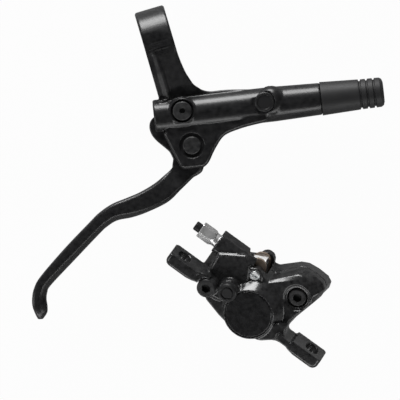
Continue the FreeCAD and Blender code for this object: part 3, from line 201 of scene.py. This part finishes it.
def painted(name, colour, haze, rough, grain=2600.0, round_to=0.0004, coat=0.0, specular=0.5):
    """Paint or dark anodising on metal: fine grain, uneven gloss, corners darkened as painted shade.

    A paler haze lies in patches on the open faces.
    """
    m = Nodes(name)
    fine = m.noise(grain, detail=4.0)
    broad = m.noise(70.0)
    uneven = m.remap(broad, -0.006, 0.006)
    gloss = m.combine("ADD", uneven, m.remap(fine, rough - 0.03, rough + 0.03))
    # Paler patches of haze on the open faces, while every corner keeps the darker base colour as painted
    # shade.
    haze_off_shaded_corners = m.combine("MULTIPLY", m.corner_shade_mask(**PAINT_CORNER_SHADE), m.remap(m.noise(420.0), 0.1, 0.9))
    base = m.mix(m.remap(broad, 0.0, 1.0), colour, lighter(colour, 1.08))
    m.into(m.mix(haze_off_shaded_corners, base, haze), "Base Color")
    m.into(gloss, "Roughness")
    m.into(m.bump(fine, depth=0.000012, strength=0.12, normal=m.soft_normal(round_to)), "Normal")
    m.into(0.0, "Metallic")
    m.into(specular, "Specular IOR Level")
    m.into(coat, "Coat Weight")
    m.into(0.12, "Coat Roughness")
    return m.material


def metal(name, colour, dark, rough):
    """Bare or plated metal: turning marks, brighter open faces, and corners darkened with faint stains and
    painted shade.
    """
    m = Nodes(name)
    lines = m.noise(1800.0, detail=4.0)
    stain = m.noise(180.0, detail=4.0)
    base = m.mix(m.remap(stain, 0.0, 1.0, from_low=0.35, from_high=0.7), colour, dark)
    gloss = m.combine("ADD", m.remap(stain, -0.04, 0.06), m.remap(lines, rough - 0.05, rough + 0.06))
    # The open faces take a brighter colour, and the corners keep the darker stained one as painted shade.
    m.into(m.mix(m.corner_shade_mask(**METAL_CORNER_SHADE), base, lighter(colour, 1.2)), "Base Color")
    m.into(gloss, "Roughness")
    m.into(m.bump(lines, depth=0.000008, strength=0.4, normal=m.soft_normal(0.00025)), "Normal")
    m.into(1.0, "Metallic")
    return m.material


def rubber(name, colour, film, rough, grain=1500.0, bump=0.00004):
    """Moulded rubber or soft plastic: stippled, matt, with a thin pale film on its faces and corners
    darkened as painted shade.
    """
    m = Nodes(name)
    fine = m.noise(grain, detail=5.0, rough=0.65)
    broad = m.noise(110.0)
    base = m.mix(m.remap(broad, 0.0, 1.0), colour, lighter(colour, 1.3))
    # The film lies on the open faces only, so the corners stay darker as painted shade.
    film_off_shaded_corners = m.combine("MULTIPLY", m.corner_shade_mask(**RUBBER_CORNER_SHADE), 0.6)
    gloss = m.combine("ADD", m.remap(broad, -0.04, 0.04), m.remap(fine, rough - 0.06, rough + 0.06))
    m.into(m.mix(film_off_shaded_corners, base, film), "Base Color")
    m.into(gloss, "Roughness")
    m.into(m.bump(fine, depth=bump, strength=0.5, normal=m.soft_normal(0.0004)), "Normal")
    m.into(0.35, "Specular IOR Level")
    return m.material


def friction(name):
    """Pad lining: coarse grey-brown compound with metal flecks."""
    compound_dark = (0.05, 0.042, 0.035)
    compound_light = (0.13, 0.105, 0.08)
    fleck_colour = (0.42, 0.34, 0.24)
    m = Nodes(name)
    grains = m.grains(1800.0)
    fleck = m.remap(grains, 1.0, 0.0, from_low=0.1, from_high=0.35)
    base = m.mix(m.remap(m.noise(900.0, detail=5.0), 0.0, 1.0), compound_dark, compound_light)
    m.into(m.mix(fleck, base, fleck_colour), "Base Color")
    m.into(m.remap(m.noise(1400.0), 0.65, 0.95), "Roughness")
    m.into(m.bump(grains, depth=0.00006, strength=0.6), "Normal")
    return m.material


# The tones of the haze on the open faces of black paint, black plastic and black steel; the corners keep
# the darker colour as painted shade.
PAINT_HAZE = (0.03, 0.03, 0.031)
CALIPER_HAZE = (0.05, 0.05, 0.051)
STEEL_HAZE = (0.06, 0.06, 0.061)

body_paint = painted("body_paint", (0.0026, 0.0026, 0.0032), PAINT_HAZE, 0.30, round_to=0.0006)
lever_paint = painted("lever_paint", (0.0030, 0.0030, 0.0036), PAINT_HAZE, 0.31, round_to=0.0008)
caliper_paint = painted("caliper_paint", (0.0020, 0.0020, 0.0024), CALIPER_HAZE, 0.22,
                        grain=1900.0, round_to=0.0008, coat=0.3)
cap_paint = painted("cap_paint", (0.0016, 0.0016, 0.0020), PAINT_HAZE, 0.20, coat=0.2)
black_steel = painted("black_steel", (0.0045, 0.0045, 0.005), STEEL_HAZE, 0.34,
                      grain=1600.0, round_to=0.0003)
plate_steel = painted("plate_steel", (0.16, 0.11, 0.078), (0.30, 0.25, 0.20), 0.34,
                      grain=1500.0, round_to=0.0002, specular=0.8)
bright_steel = metal("bright_steel", (0.86, 0.86, 0.865), (0.62, 0.62, 0.63), 0.44)
spring_steel = metal("spring_steel", (0.95, 0.89, 0.83), (0.72, 0.65, 0.58), 0.60)
zinc_steel = metal("zinc_steel", (0.82, 0.90, 0.95), (0.62, 0.70, 0.78), 0.44)
anodised = metal("anodised_aluminium", (0.62, 0.62, 0.64), (0.48, 0.48, 0.50), 0.36)
brass = metal("brass", (0.62, 0.44, 0.20), (0.42, 0.28, 0.11), 0.32)
boot_rubber = rubber("boot_rubber", (0.013, 0.013, 0.0135), (0.035, 0.035, 0.036), 0.52, bump=0.00003)
seal_rubber = rubber("seal_rubber", (0.008, 0.008, 0.008), (0.03, 0.03, 0.03), 0.55)
black_plastic = rubber("black_plastic", (0.0048, 0.0048, 0.0052), PAINT_HAZE, 0.38,
                       grain=2200.0, bump=0.000015)
resin = rubber("piston_resin", (0.30, 0.25, 0.19), (0.42, 0.37, 0.30), 0.45, grain=1800.0, bump=0.00001)
lining = friction("friction_lining")

finish = {
    "master_cylinder_body": body_paint, "lever_blade": lever_paint,
    "outboard_caliper_half": caliper_paint, "inboard_caliper_half": caliper_paint,
    "bore_cap": cap_paint, "hose_boot": boot_rubber,
    "bleed_screw": black_steel, "clamp_bolt": black_steel, "lever_pivot_pin": black_steel,
    "body_bolt_left": black_steel, "body_bolt_right": black_steel,
    "reservoir_cap": black_plastic, "bleed_nipple_cap": black_plastic, "hose_port_plug": black_plastic,
    "hose_connecting_bolt": bright_steel, "lever_connecting_bolt": bright_steel,
    "bleed_nipple": bright_steel, "barrel_nut": bright_steel, "push_rod": bright_steel,
    "piston_return_spring": bright_steel, "piston_retaining_ring": bright_steel,
    "pad_axle": zinc_steel, "pad_axle_clip": bright_steel, "pad_spring": spring_steel,
    "inboard_pad_plate": plate_steel, "outboard_pad_plate": plate_steel,
    "inboard_pad_lining": lining, "outboard_pad_lining": lining,
    "master_piston": anodised, "inboard_piston": resin, "outboard_piston": resin,
    "pivot_bush_lower": brass, "pivot_bush_upper": brass,
    "primary_cup_seal": seal_rubber, "secondary_cup_seal": seal_rubber,
    "reservoir_bladder": seal_rubber, "bleed_screw_washer": seal_rubber, "bore_cap_seal": seal_rubber,
    "inboard_piston_seal": seal_rubber, "outboard_piston_seal": seal_rubber,
    "passage_o_ring": seal_rubber,
}
for name, obj in nodes.items():
    obj.data.materials.clear()
    obj.data.materials.append(finish[name])


# Castings, with the rounded corners that a mould and its paint leave

WELD = 2e-6
SMOOTH_STEP = 0.5


def body_of(node):
    return nodes[node]["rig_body"]


def add_rings(work, rings):
    """Join a closed solid, lofted through rings of points, to a mesh."""
    made = []
    rows = [[work.verts.new(p) for p in ring] for ring in rings]
    count = len(rows[0])
    for a, b in zip(rows, rows[1:]):
        for i in range(count):
            j = (i + 1) % count
            made.append(work.faces.new((a[i], a[j], b[j], b[i])))
    made.append(work.faces.new(rows[0][::-1]))
    made.append(work.faces.new(rows[-1]))
    bmesh.ops.recalc_face_normals(work, faces=made)


def welded_copy(node, before):
    """A solid's mesh with its points joined and changed by before(work)."""
    mesh = nodes[node].data.copy()
    work = bmesh.new()
    work.from_mesh(mesh)
    bmesh.ops.remove_doubles(work, verts=work.verts, dist=WELD)
    if before:
        before(work)
    work.to_mesh(mesh)
    work.free()
    return mesh


def one_skin(name, mesh, voxel, passes, keep):
    """A mesh as one smooth skin, with the share of its faces that is kept."""
    draft = bpy.data.objects.new(name + "_draft", mesh)
    scene.collection.objects.link(draft)
    remesh = draft.modifiers.new("remesh", "REMESH")
    remesh.mode = "VOXEL"
    remesh.voxel_size = voxel
    ease = draft.modifiers.new("smooth", "SMOOTH")
    ease.factor = SMOOTH_STEP
    ease.iterations = passes
    thin = draft.modifiers.new("thin", "DECIMATE")
    thin.ratio = keep
    bpy.context.view_layer.update()
    evaluated = draft.evaluated_get(bpy.context.evaluated_depsgraph_get())
    made = bpy.data.meshes.new_from_object(evaluated)
    bpy.data.objects.remove(draft)
    made.name = name
    return made


def rounded(node, piece, voxel, passes, keep, before=None, after=None):
    """Show a solid as a copy with its corners eased by a fine remesh.

    before(work) changes the mesh ahead of the remesh, and after(point) moves a
    point of the finished one.
    """
    made = one_skin(piece, welded_copy(node, before), voxel, passes, keep)
    if after:
        for vertex in made.vertices:
            vertex.co = after(vertex.co.copy())
    for polygon in made.polygons:
        polygon.use_smooth = True
    obj = bpy.data.objects.new(piece, made)
    scene.collection.objects.link(obj)
    obj.data.materials.clear()
    obj.data.materials.append(finish[node])
    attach(obj, body_of(node))
    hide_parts(node)


def smooth(t):
    """An even start and stop between 0 and 1."""
    t = max(0.0, min(1.0, t))
    return t * t * (3.0 - 2.0 * t)


def between(table, at):
    """Read a table of (position, value) rows, in falling positions, at one position."""
    for (p0, v0), (p1, v1) in zip(table, table[1:]):
        if at >= p1:
            return v0 + (v1 - v0) * min(1.0, max(0.0, (p0 - at) / (p0 - p1)))
    return table[-1][1]


def curve_through(points, t):
    """Catmull-Rom curve through rows of numbers, at t from 0 to len(points) - 1."""
    i = min(int(t), len(points) - 2)
    f = t - i
    p0, p1, p2, p3 = (points[max(0, min(len(points) - 1, k))] for k in (i - 1, i, i + 1, i + 2))
    return [
        0.5 * (2 * b + (c - a) * f + (2 * a - 5 * b + 4 * c - d) * f * f + (3 * b - a - 3 * c + d) * f ** 3)
        for a, b, c, d in zip(p0, p1, p2, p3)
    ]


# The barrel of the master cylinder. Its own frame has s along the axis and t across
# it. This and all that follows, up to the blade, is in millimetres.
MM_PER_M = 1000.0
BARREL_TURN = math.radians(-10.1)
BARREL_COS = math.cos(BARREL_TURN)
BARREL_SIN = math.sin(BARREL_TURN)
BARREL_PLACE = (-11.45, -34.64, 2.0)
BARREL_RADIUS = 8.3


def to_barrel(x, y):
    x -= BARREL_PLACE[0]
    y -= BARREL_PLACE[1]
    return x * BARREL_COS + y * BARREL_SIN, y * BARREL_COS - x * BARREL_SIN


def from_barrel(s, t, z):
    x = s * BARREL_COS - t * BARREL_SIN + BARREL_PLACE[0]
    y = s * BARREL_SIN + t * BARREL_COS + BARREL_PLACE[1]
    return Vector((x, y, z + BARREL_PLACE[2])) / MM_PER_M


# The groove between the barrel and the ears, on both faces of the casting. It follows
# the barrel's round wall down to a floor, and rises again to the ears.
GUTTER_START = -1.0
GUTTER_END = 44.0
GUTTER_RUN_OUT = 6.0
GUTTER_NEAR = -4.2
GUTTER_FAR = -7.3
GUTTER_WALL = 0.8
GUTTER_FLOOR = 4.9


def gutter(x, y, z):
    """Height of a point once the groove between barrel and ears is pressed in."""
    s, t = to_barrel(x, y)
    z -= BARREL_PLACE[2]
    if GUTTER_START < s < GUTTER_END and GUTTER_FAR - GUTTER_WALL < t < GUTTER_NEAR:
        floor = max(math.sqrt(BARREL_RADIUS ** 2 - t * t), GUTTER_FLOOR)
        if abs(z) > floor:
            at_wall = smooth((GUTTER_FAR - t) / GUTTER_WALL)
            at_end = smooth((s - GUTTER_END + GUTTER_RUN_OUT) / GUTTER_RUN_OUT)
            z = math.copysign(floor + (abs(z) - floor) * max(at_wall, at_end), z)
    return z + BARREL_PLACE[2]


# The neck: a flat ramp falls from the clamp ring to the barrel, and a soft ridge
# stands along its left side, with a facet that falls from its crest to the left edge.
# y is 0 over the ring's axis and falls toward the barrel, and the right edge is given
# as rows of y and x.
RING_RADIUS = 15.7
NECK_LEFT = -6.8
NECK_RIGHT = [(4.0, 6.4), (-8.0, 6.9), (-17.6, 7.9), (-25.0, 10.2), (-29.2, 14.4), (-31.1, 21.7)]
NECK_LOW = 4.2
NECK_SECTIONS = 64

# Where the neck meets the barrel's wall, at its left edge, and that wall's slope.
NECK_END = -27.8
BARREL_SLOPE = 0.178

# The ramp, and how it dips under the ring at its start.
RAMP_START_Y = -5.9
RAMP_START_Z = 14.56
RAMP_FALL = 0.397
RAMP_FROM = -5.6
RAMP_DIP = 0.5
RAMP_DIP_WAY = 4.0
UNDER_RAMP = 0.6

# The rounded right edge of the ramp: distances from the edge and below the ramp.
RAMP_EDGE = [(0.0, 0.5), (0.6, 0.15), (1.4, 0.0)]

# The ridge, its rise above the ramp, and how it dips under the ring at its start.
RIDGE_X = -2.9
RIDGE_RISE = 1.2
RIDGE_RISE_WAY = 10.0
RIDGE_FROM = -6.4
RIDGE_DIP = 0.4
RIDGE_DIP_END = -8.4
RIDGE_DIP_WAY = 2.0
RIDGE_FOOT = 2.4
RIDGE_SINK = 1.0

# The rounded right side of the crest: distances from the crest and below it.
RIDGE_EDGE = [(0.0, 0.0), (0.5, 0.05), (1.0, 0.35)]

# The facet: its fall a millimetre, first over its width and then at its foot.
FACET_FALL = 0.66
FACET_WIDTH = 2.0
FACET_FOOT = 0.2
FACET_START = 5.0
FACET_START_WAY = 6.0


def ring_z(y):
    return math.sqrt(RING_RADIUS ** 2 - y * y)


def ramp_z(y):
    return RAMP_START_Z + (y - RAMP_START_Y) * RAMP_FALL


def crest_z(y):
    if y > RAMP_START_Y:
        return ring_z(y)
    return ramp_z(y) + RIDGE_RISE * smooth((RAMP_START_Y - y) / RIDGE_RISE_WAY)


def facet_z(x, y):
    away = RIDGE_X - x
    fall = FACET_FALL * min(away, FACET_WIDTH) + FACET_FOOT * max(0.0, away - FACET_WIDTH)
    return crest_z(y) - fall * smooth((FACET_START - y) / FACET_START_WAY)


def ramp_top(y):
    if y < RAMP_START_Y:
        return ramp_z(y)
    return crest_z(y) - RAMP_DIP * smooth((y - RAMP_START_Y) / RAMP_DIP_WAY)


def ridge_top(y):
    return crest_z(y) - RIDGE_DIP * smooth((y - RIDGE_DIP_END) / RIDGE_DIP_WAY)


def ridge_foot(y):
    return min(ridge_top(y) - RIDGE_SINK, ramp_z(y) - UNDER_RAMP)


def neck_low(y):
    return min(NECK_LOW, ramp_z(y) - UNDER_RAMP)


def lowered(height, drop):
    return lambda y: height(y) - drop


def ramp_outline(right):
    """A section across the ramp: each corner's x, and its height as a function of y."""
    edge = [(right - inset, lowered(ramp_top, drop)) for inset, drop in RAMP_EDGE]
    return [(NECK_LEFT, neck_low), (right, neck_low), *edge, (NECK_LEFT, ramp_top)]


def ridge_outline():
    """A section across the ridge, in the same form."""
    facet_end = RIDGE_X - FACET_WIDTH
    facet = [(x, lambda y, x=x: facet_z(x, y)) for x in (NECK_LEFT, facet_end)]
    edge = [(RIDGE_X + away, lowered(ridge_top, drop)) for away, drop in RIDGE_EDGE]
    foot = RIDGE_X + RIDGE_FOOT
    return [(NECK_LEFT, neck_low), *facet, *edge, (foot, ridge_foot), (foot, neck_low)]


def neck_ring(start, part, outline):
    """One section of a neck form. Its far end follows the wall of the barrel."""
    ring = []
    for x, height in outline:
        y = start + part * (NECK_END - (x - NECK_LEFT) * BARREL_SLOPE - start)
        ring.append((x / MM_PER_M, y / MM_PER_M, height(y) / MM_PER_M))
    return ring


def neck_forms(work):
    """Add the ramp and the ridge as closed solids, which the remesh joins to the rest."""
    ramp = []
    ridge = []
    for i in range(NECK_SECTIONS + 1):
        part = i / NECK_SECTIONS
        right = between(NECK_RIGHT, RAMP_FROM + part * (NECK_RIGHT[-1][0] - RAMP_FROM))
        ramp.append(neck_ring(RAMP_FROM, part, ramp_outline(right)))
        ridge.append(neck_ring(RIDGE_FROM, part, ridge_outline()))
    add_rings(work, ramp)
    add_rings(work, ridge)


# What is flattened after the remesh: the upper side of the neck from its end up to the
# ring. Left of the crest, points go onto the facet, with those well inside its edge
# lifted too. Right of it, where ring and ramp meet, they go onto these two.
TRIM_LOW = 4.0
TRIM_END = -28.0
FACET_MARGIN = 0.6
LIFT_INSIDE = 0.5
LIFT_START = 2.0
LIFT_REACH = 1.0
LEVEL_RIGHT = 5.8
LEVEL_END = -12.0
LEVEL_FROM_CREST = 2.6
LEVEL_REACH = 1.4


def on_facet(x, y, z):
    """Height of a point left of the crest."""
    top = facet_z(x, y)
    inside = x > NECK_LEFT + LIFT_INSIDE and y < LIFT_START
    if z > top or (inside and z > top - LIFT_REACH):
        return top
    return z


def on_ramp(x, y, z):
    """Height of a point right of the crest."""
    near_ring = y > RIDGE_FROM or (y > LEVEL_END and x > RIDGE_X + LEVEL_FROM_CREST)
    if x < LEVEL_RIGHT and near_ring:
        top = ramp_z(y) if y < RAMP_START_Y else ring_z(y)
        if abs(z - top) < LEVEL_REACH:
            return top
    return z


def neck_trim(point):
    """Press in the groove and flatten the upper side of the neck."""
    x, y, z = (c * MM_PER_M for c in point)
    if z < TRIM_LOW or not TRIM_END < y < FACET_START:
        point.z = gutter(x, y, z) / MM_PER_M
    elif NECK_LEFT - FACET_MARGIN < x < RIDGE_X:
        point.z = on_facet(x, y, z) / MM_PER_M
    else:
        point.z = on_ramp(x, y, z) / MM_PER_M
    return point


# The lever blade, in the pivot's frame in millimetres: outer edge s, t; inner edge
# s, t; half height; and how far across the section its top face turns down.
PIVOT = (15.6, -15.2)
BLADE = [
    (-6.0, -2.0, 5.4, -9.9, 3.1, 0.86),
    (-8.8, -6.6, 2.4, -12.4, 3.1, 0.86),
    (-10.8, -9.8, -1.0, -15.2, 4.7, 0.86),
    (-15.1, -13.0, -7.6, -20.4, 5.0, 0.86),
    (-19.9, -16.1, -14.2, -25.4, 5.2, 0.85),
    (-27.0, -19.3, -24.0, -29.0, 5.4, 0.82),
    (-33.9, -21.4, -31.8, -30.8, 5.5, 0.74),
    (-40.9, -23.4, -39.2, -31.5, 5.6, 0.70),
    (-47.3, -26.8, -44.5, -34.0, 5.6, 0.67),
    (-52.7, -31.1, -48.6, -37.1, 5.6, 0.65),
    (-65.5, -41.8, -61.2, -47.7, 5.5, 0.62),
    (-78.4, -53.8, -73.9, -58.5, 5.3, 0.56),
    (-82.1, -59.1, -76.0, -61.7, 5.2, 0.52),
    (-83.5, -63.5, -76.7, -64.8, 5.0, 0.48),
    (-83.8, -67.4, -76.6, -68.2, 4.6, 0.46),
    (-82.9, -71.2, -77.1, -71.2, 3.6, 0.46),
    (-81.8, -74.0, -79.5, -74.1, 1.8, 0.48),
]
BLADE_STEPS = 9
CORNER_CUTS = 2
CORNER_SHARE = 0.25

# Near the pivot the blade is as thin as the knuckle and nearly square, so that it
# swings between the ears, and it gains its full section beyond them.
KNUCKLE_HALF = 3.1
EAR_SWING = 14.8
EAR_EASE = 9.0
ROOT_FILL = 0.25

# The CAD blade is cut away from here on: a distance and a direction from the pivot.
ROOT_CUT = 13.0
ROOT_WAY = (-0.562, -0.827)
ON_PLANE = 1e-7


def from_pivot(s, t, z):
    return from_barrel(s + PIVOT[0], t + PIVOT[1], z)


def blade_top(turn):
    """The upper half of a section: shares of the way across it and of its half height."""
    down = 1.0 - turn
    return [
        (0.0, 0.25), (0.01, 0.60), (0.06, 0.90), (0.16, 0.97), (0.5 * turn, 0.985), (turn - 0.06, 1.0),
        (turn + 0.03, 0.975), (turn + down * 0.45, 0.76), (turn + down * 0.9, 0.42), (1.0, 0.22),
    ]


def cut_corners(shape):
    """A closed outline with each of its corners cut off."""
    near = 1.0 - CORNER_SHARE
    far = CORNER_SHARE
    cut = []
    for (a0, h0), (a1, h1) in zip(shape, shape[1:] + shape[:1]):
        cut.append((a0 * near + a1 * far, h0 * near + h1 * far))
        cut.append((a0 * far + a1 * near, h0 * far + h1 * near))
    return cut


def blade_ring(row):
    """One section of the blade, from a row of the table."""
    s0, t0, s1, t1, half, turn = row
    top = blade_top(turn)
    shape = top + [(a, -h) for a, h in top[::-1]]
    for _ in range(CORNER_CUTS):
        shape = cut_corners(shape)
    ring = []
    for a, h in shape:
        s = s0 + (s1 - s0) * a
        t = t0 + (t1 - t0) * a
        free = smooth((math.hypot(s, t) - EAR_SWING) / EAR_EASE)
        limit = KNUCKLE_HALF + (half - KNUCKLE_HALF) * free
        limit *= min(1.0, abs(h) + ROOT_FILL * (1.0 - free))
        ring.append(from_pivot(s, t, math.copysign(min(abs(half * h), limit), h)))
    return ring


def blade_form(work):
    """Swap the CAD blade for the smooth one, from just outside the knuckle."""
    place = from_pivot(ROOT_WAY[0] * ROOT_CUT, ROOT_WAY[1] * ROOT_CUT, 0.0)
    normal = (place - from_pivot(0.0, 0.0, 0.0)).normalized()
    done = bmesh.ops.bisect_plane(work, geom=work.verts[:] + work.edges[:] + work.faces[:], dist=ON_PLANE,
                                  plane_co=place, plane_no=normal, clear_outer=True)
    rim = [e for e in done["geom_cut"] if isinstance(e, bmesh.types.BMEdge)]
    bmesh.ops.holes_fill(work, edges=rim, sides=0)
    steps = BLADE_STEPS * (len(BLADE) - 1)
    add_rings(work, [blade_ring(curve_through(BLADE, i / BLADE_STEPS)) for i in range(steps + 1)])


rounded("lever_blade", "lever_casting", 0.00038, 9, 0.5, before=blade_form)
rounded("master_cylinder_body", "master_cylinder_casting", 0.00040, 5, 0.45,
        before=neck_forms, after=neck_trim)
rounded("outboard_caliper_half", "outboard_caliper_casting", 0.00036, 3, 0.45)
rounded("inboard_caliper_half", "inboard_caliper_casting", 0.00040, 2, 0.45)


# Stage, light and camera. Lengths are in metres and lamps in watts.

FLOOR_SIZE = 8.0
FLOOR_PLACE = (0.0, -0.08)
FLOOR_GAP = 0.00005
FLOOR_COLOUR = (0.45, 0.45, 0.45, 1.0)
FLOOR_WHITE = 0.97
WHITE = (1.0, 1.0, 1.0, 1.0)
SKY_LIGHT = 0.04
SIDEWAYS = 0.9


def seen_as(tree, plain, shown, share, target):
    """Show the camera a share of the second shader, and the first to all other rays."""
    path = tree.nodes.new("ShaderNodeLightPath")
    part = tree.nodes.new("ShaderNodeMath")
    part.operation = "MULTIPLY"
    part.inputs[1].default_value = share
    blend = tree.nodes.new("ShaderNodeMixShader")
    tree.links.new(path.outputs["Is Camera Ray"], part.inputs[0])
    tree.links.new(part.outputs[0], blend.inputs[0])
    tree.links.new(plain.outputs[0], blend.inputs[1])
    tree.links.new(shown.outputs[0], blend.inputs[2])
    tree.links.new(blend.outputs[0], target.inputs["Surface"])


def pale_floor():
    material = bpy.data.materials.new("floor_white")
    material.use_nodes = True
    tree = material.node_tree
    plain = tree.nodes["Principled BSDF"]
    plain.inputs["Base Color"].default_value = FLOOR_COLOUR
    plain.inputs["Roughness"].default_value = 0.9
    plain.inputs["Specular IOR Level"].default_value = 0.0
    white = tree.nodes.new("ShaderNodeEmission")
    white.inputs["Strength"].default_value = 1.0
    seen_as(tree, plain, white, FLOOR_WHITE, tree.nodes["Material Output"])
    return material


def lay_floor():
    h = FLOOR_SIZE / 2.0
    mesh = bpy.data.meshes.new("floor")
    mesh.from_pydata([(-h, -h, 0), (h, -h, 0), (h, h, 0), (-h, h, 0)], [], [(0, 1, 2, 3)])
    mesh.materials.append(pale_floor())
    obj = bpy.data.objects.new("floor", mesh)
    obj.location = (*FLOOR_PLACE, GROUND - FLOOR_GAP)
    scene.collection.objects.link(obj)


def light_sky():
    world = bpy.data.worlds.new("studio")
    scene.world = world
    world.use_nodes = True
    tree = world.node_tree
    plain = tree.nodes["Background"]
    plain.inputs["Color"].default_value = WHITE
    plain.inputs["Strength"].default_value = SKY_LIGHT
    shown = tree.nodes.new("ShaderNodeBackground")
    shown.inputs["Color"].default_value = WHITE
    shown.inputs["Strength"].default_value = 1.0
    seen_as(tree, plain, shown, 1.0, tree.nodes["World Output"])


def turned(x, y, z, place):
    """A matrix with the given axes and place."""
    turn = Matrix((x, y, z)).transposed().to_4x4()
    turn.translation = place
    return turn


def softbox(name, right, up, height, width, depth, power):
    """A rectangular lamp aimed at the set, placed by the photograph's right and up."""
    data = bpy.data.lights.new(name, "AREA")
    data.shape = "RECTANGLE"
    data.size = width
    data.size_y = depth
    data.energy = power
    obj = bpy.data.objects.new(name, data)
    place = CENTRE + RIGHT * right + UP * up + TOWARD * height
    back = (place - CENTRE).normalized()
    side = RIGHT if abs(back.dot(RIGHT)) < SIDEWAYS else UP
    x = (side - back * side.dot(back)).normalized()
    obj.matrix_world = turned(x, back.cross(x), back, place)
    scene.collection.objects.link(obj)


def place_camera():
    """A long lens straight above the set, as wide as the photograph."""
    data = bpy.data.cameras.new("camera")
    data.lens = 700.0
    data.sensor_width = 36.0
    data.clip_start = 0.1
    data.clip_end = 40.0
    distance = PHOTO_WIDTH * data.lens / data.sensor_width
    obj = bpy.data.objects.new("camera", data)
    obj.matrix_world = turned(RIGHT, UP, TOWARD, CENTRE + TOWARD * distance)
    scene.collection.objects.link(obj)
    scene.camera = obj


lay_floor()
light_sky()
softbox("softbox_top", -0.12, 0.68, 0.21, 0.46, 0.36, 6.6)
softbox("softbox_bottom", 0.05, -0.63, 0.29, 0.9, 0.20, 2.4)
softbox("softbox_left", -0.66, -0.16, 0.26, 0.22, 0.4, 1.0)
softbox("softbox_corner", -0.40, -0.52, 0.18, 0.2, 0.2, 0.4)
softbox("softbox_low_right", 0.52, -0.36, 0.24, 0.2, 0.2, 0.5)
place_camera()

scene.view_settings.view_transform = "Standard"

bpy.context.view_layer.update()
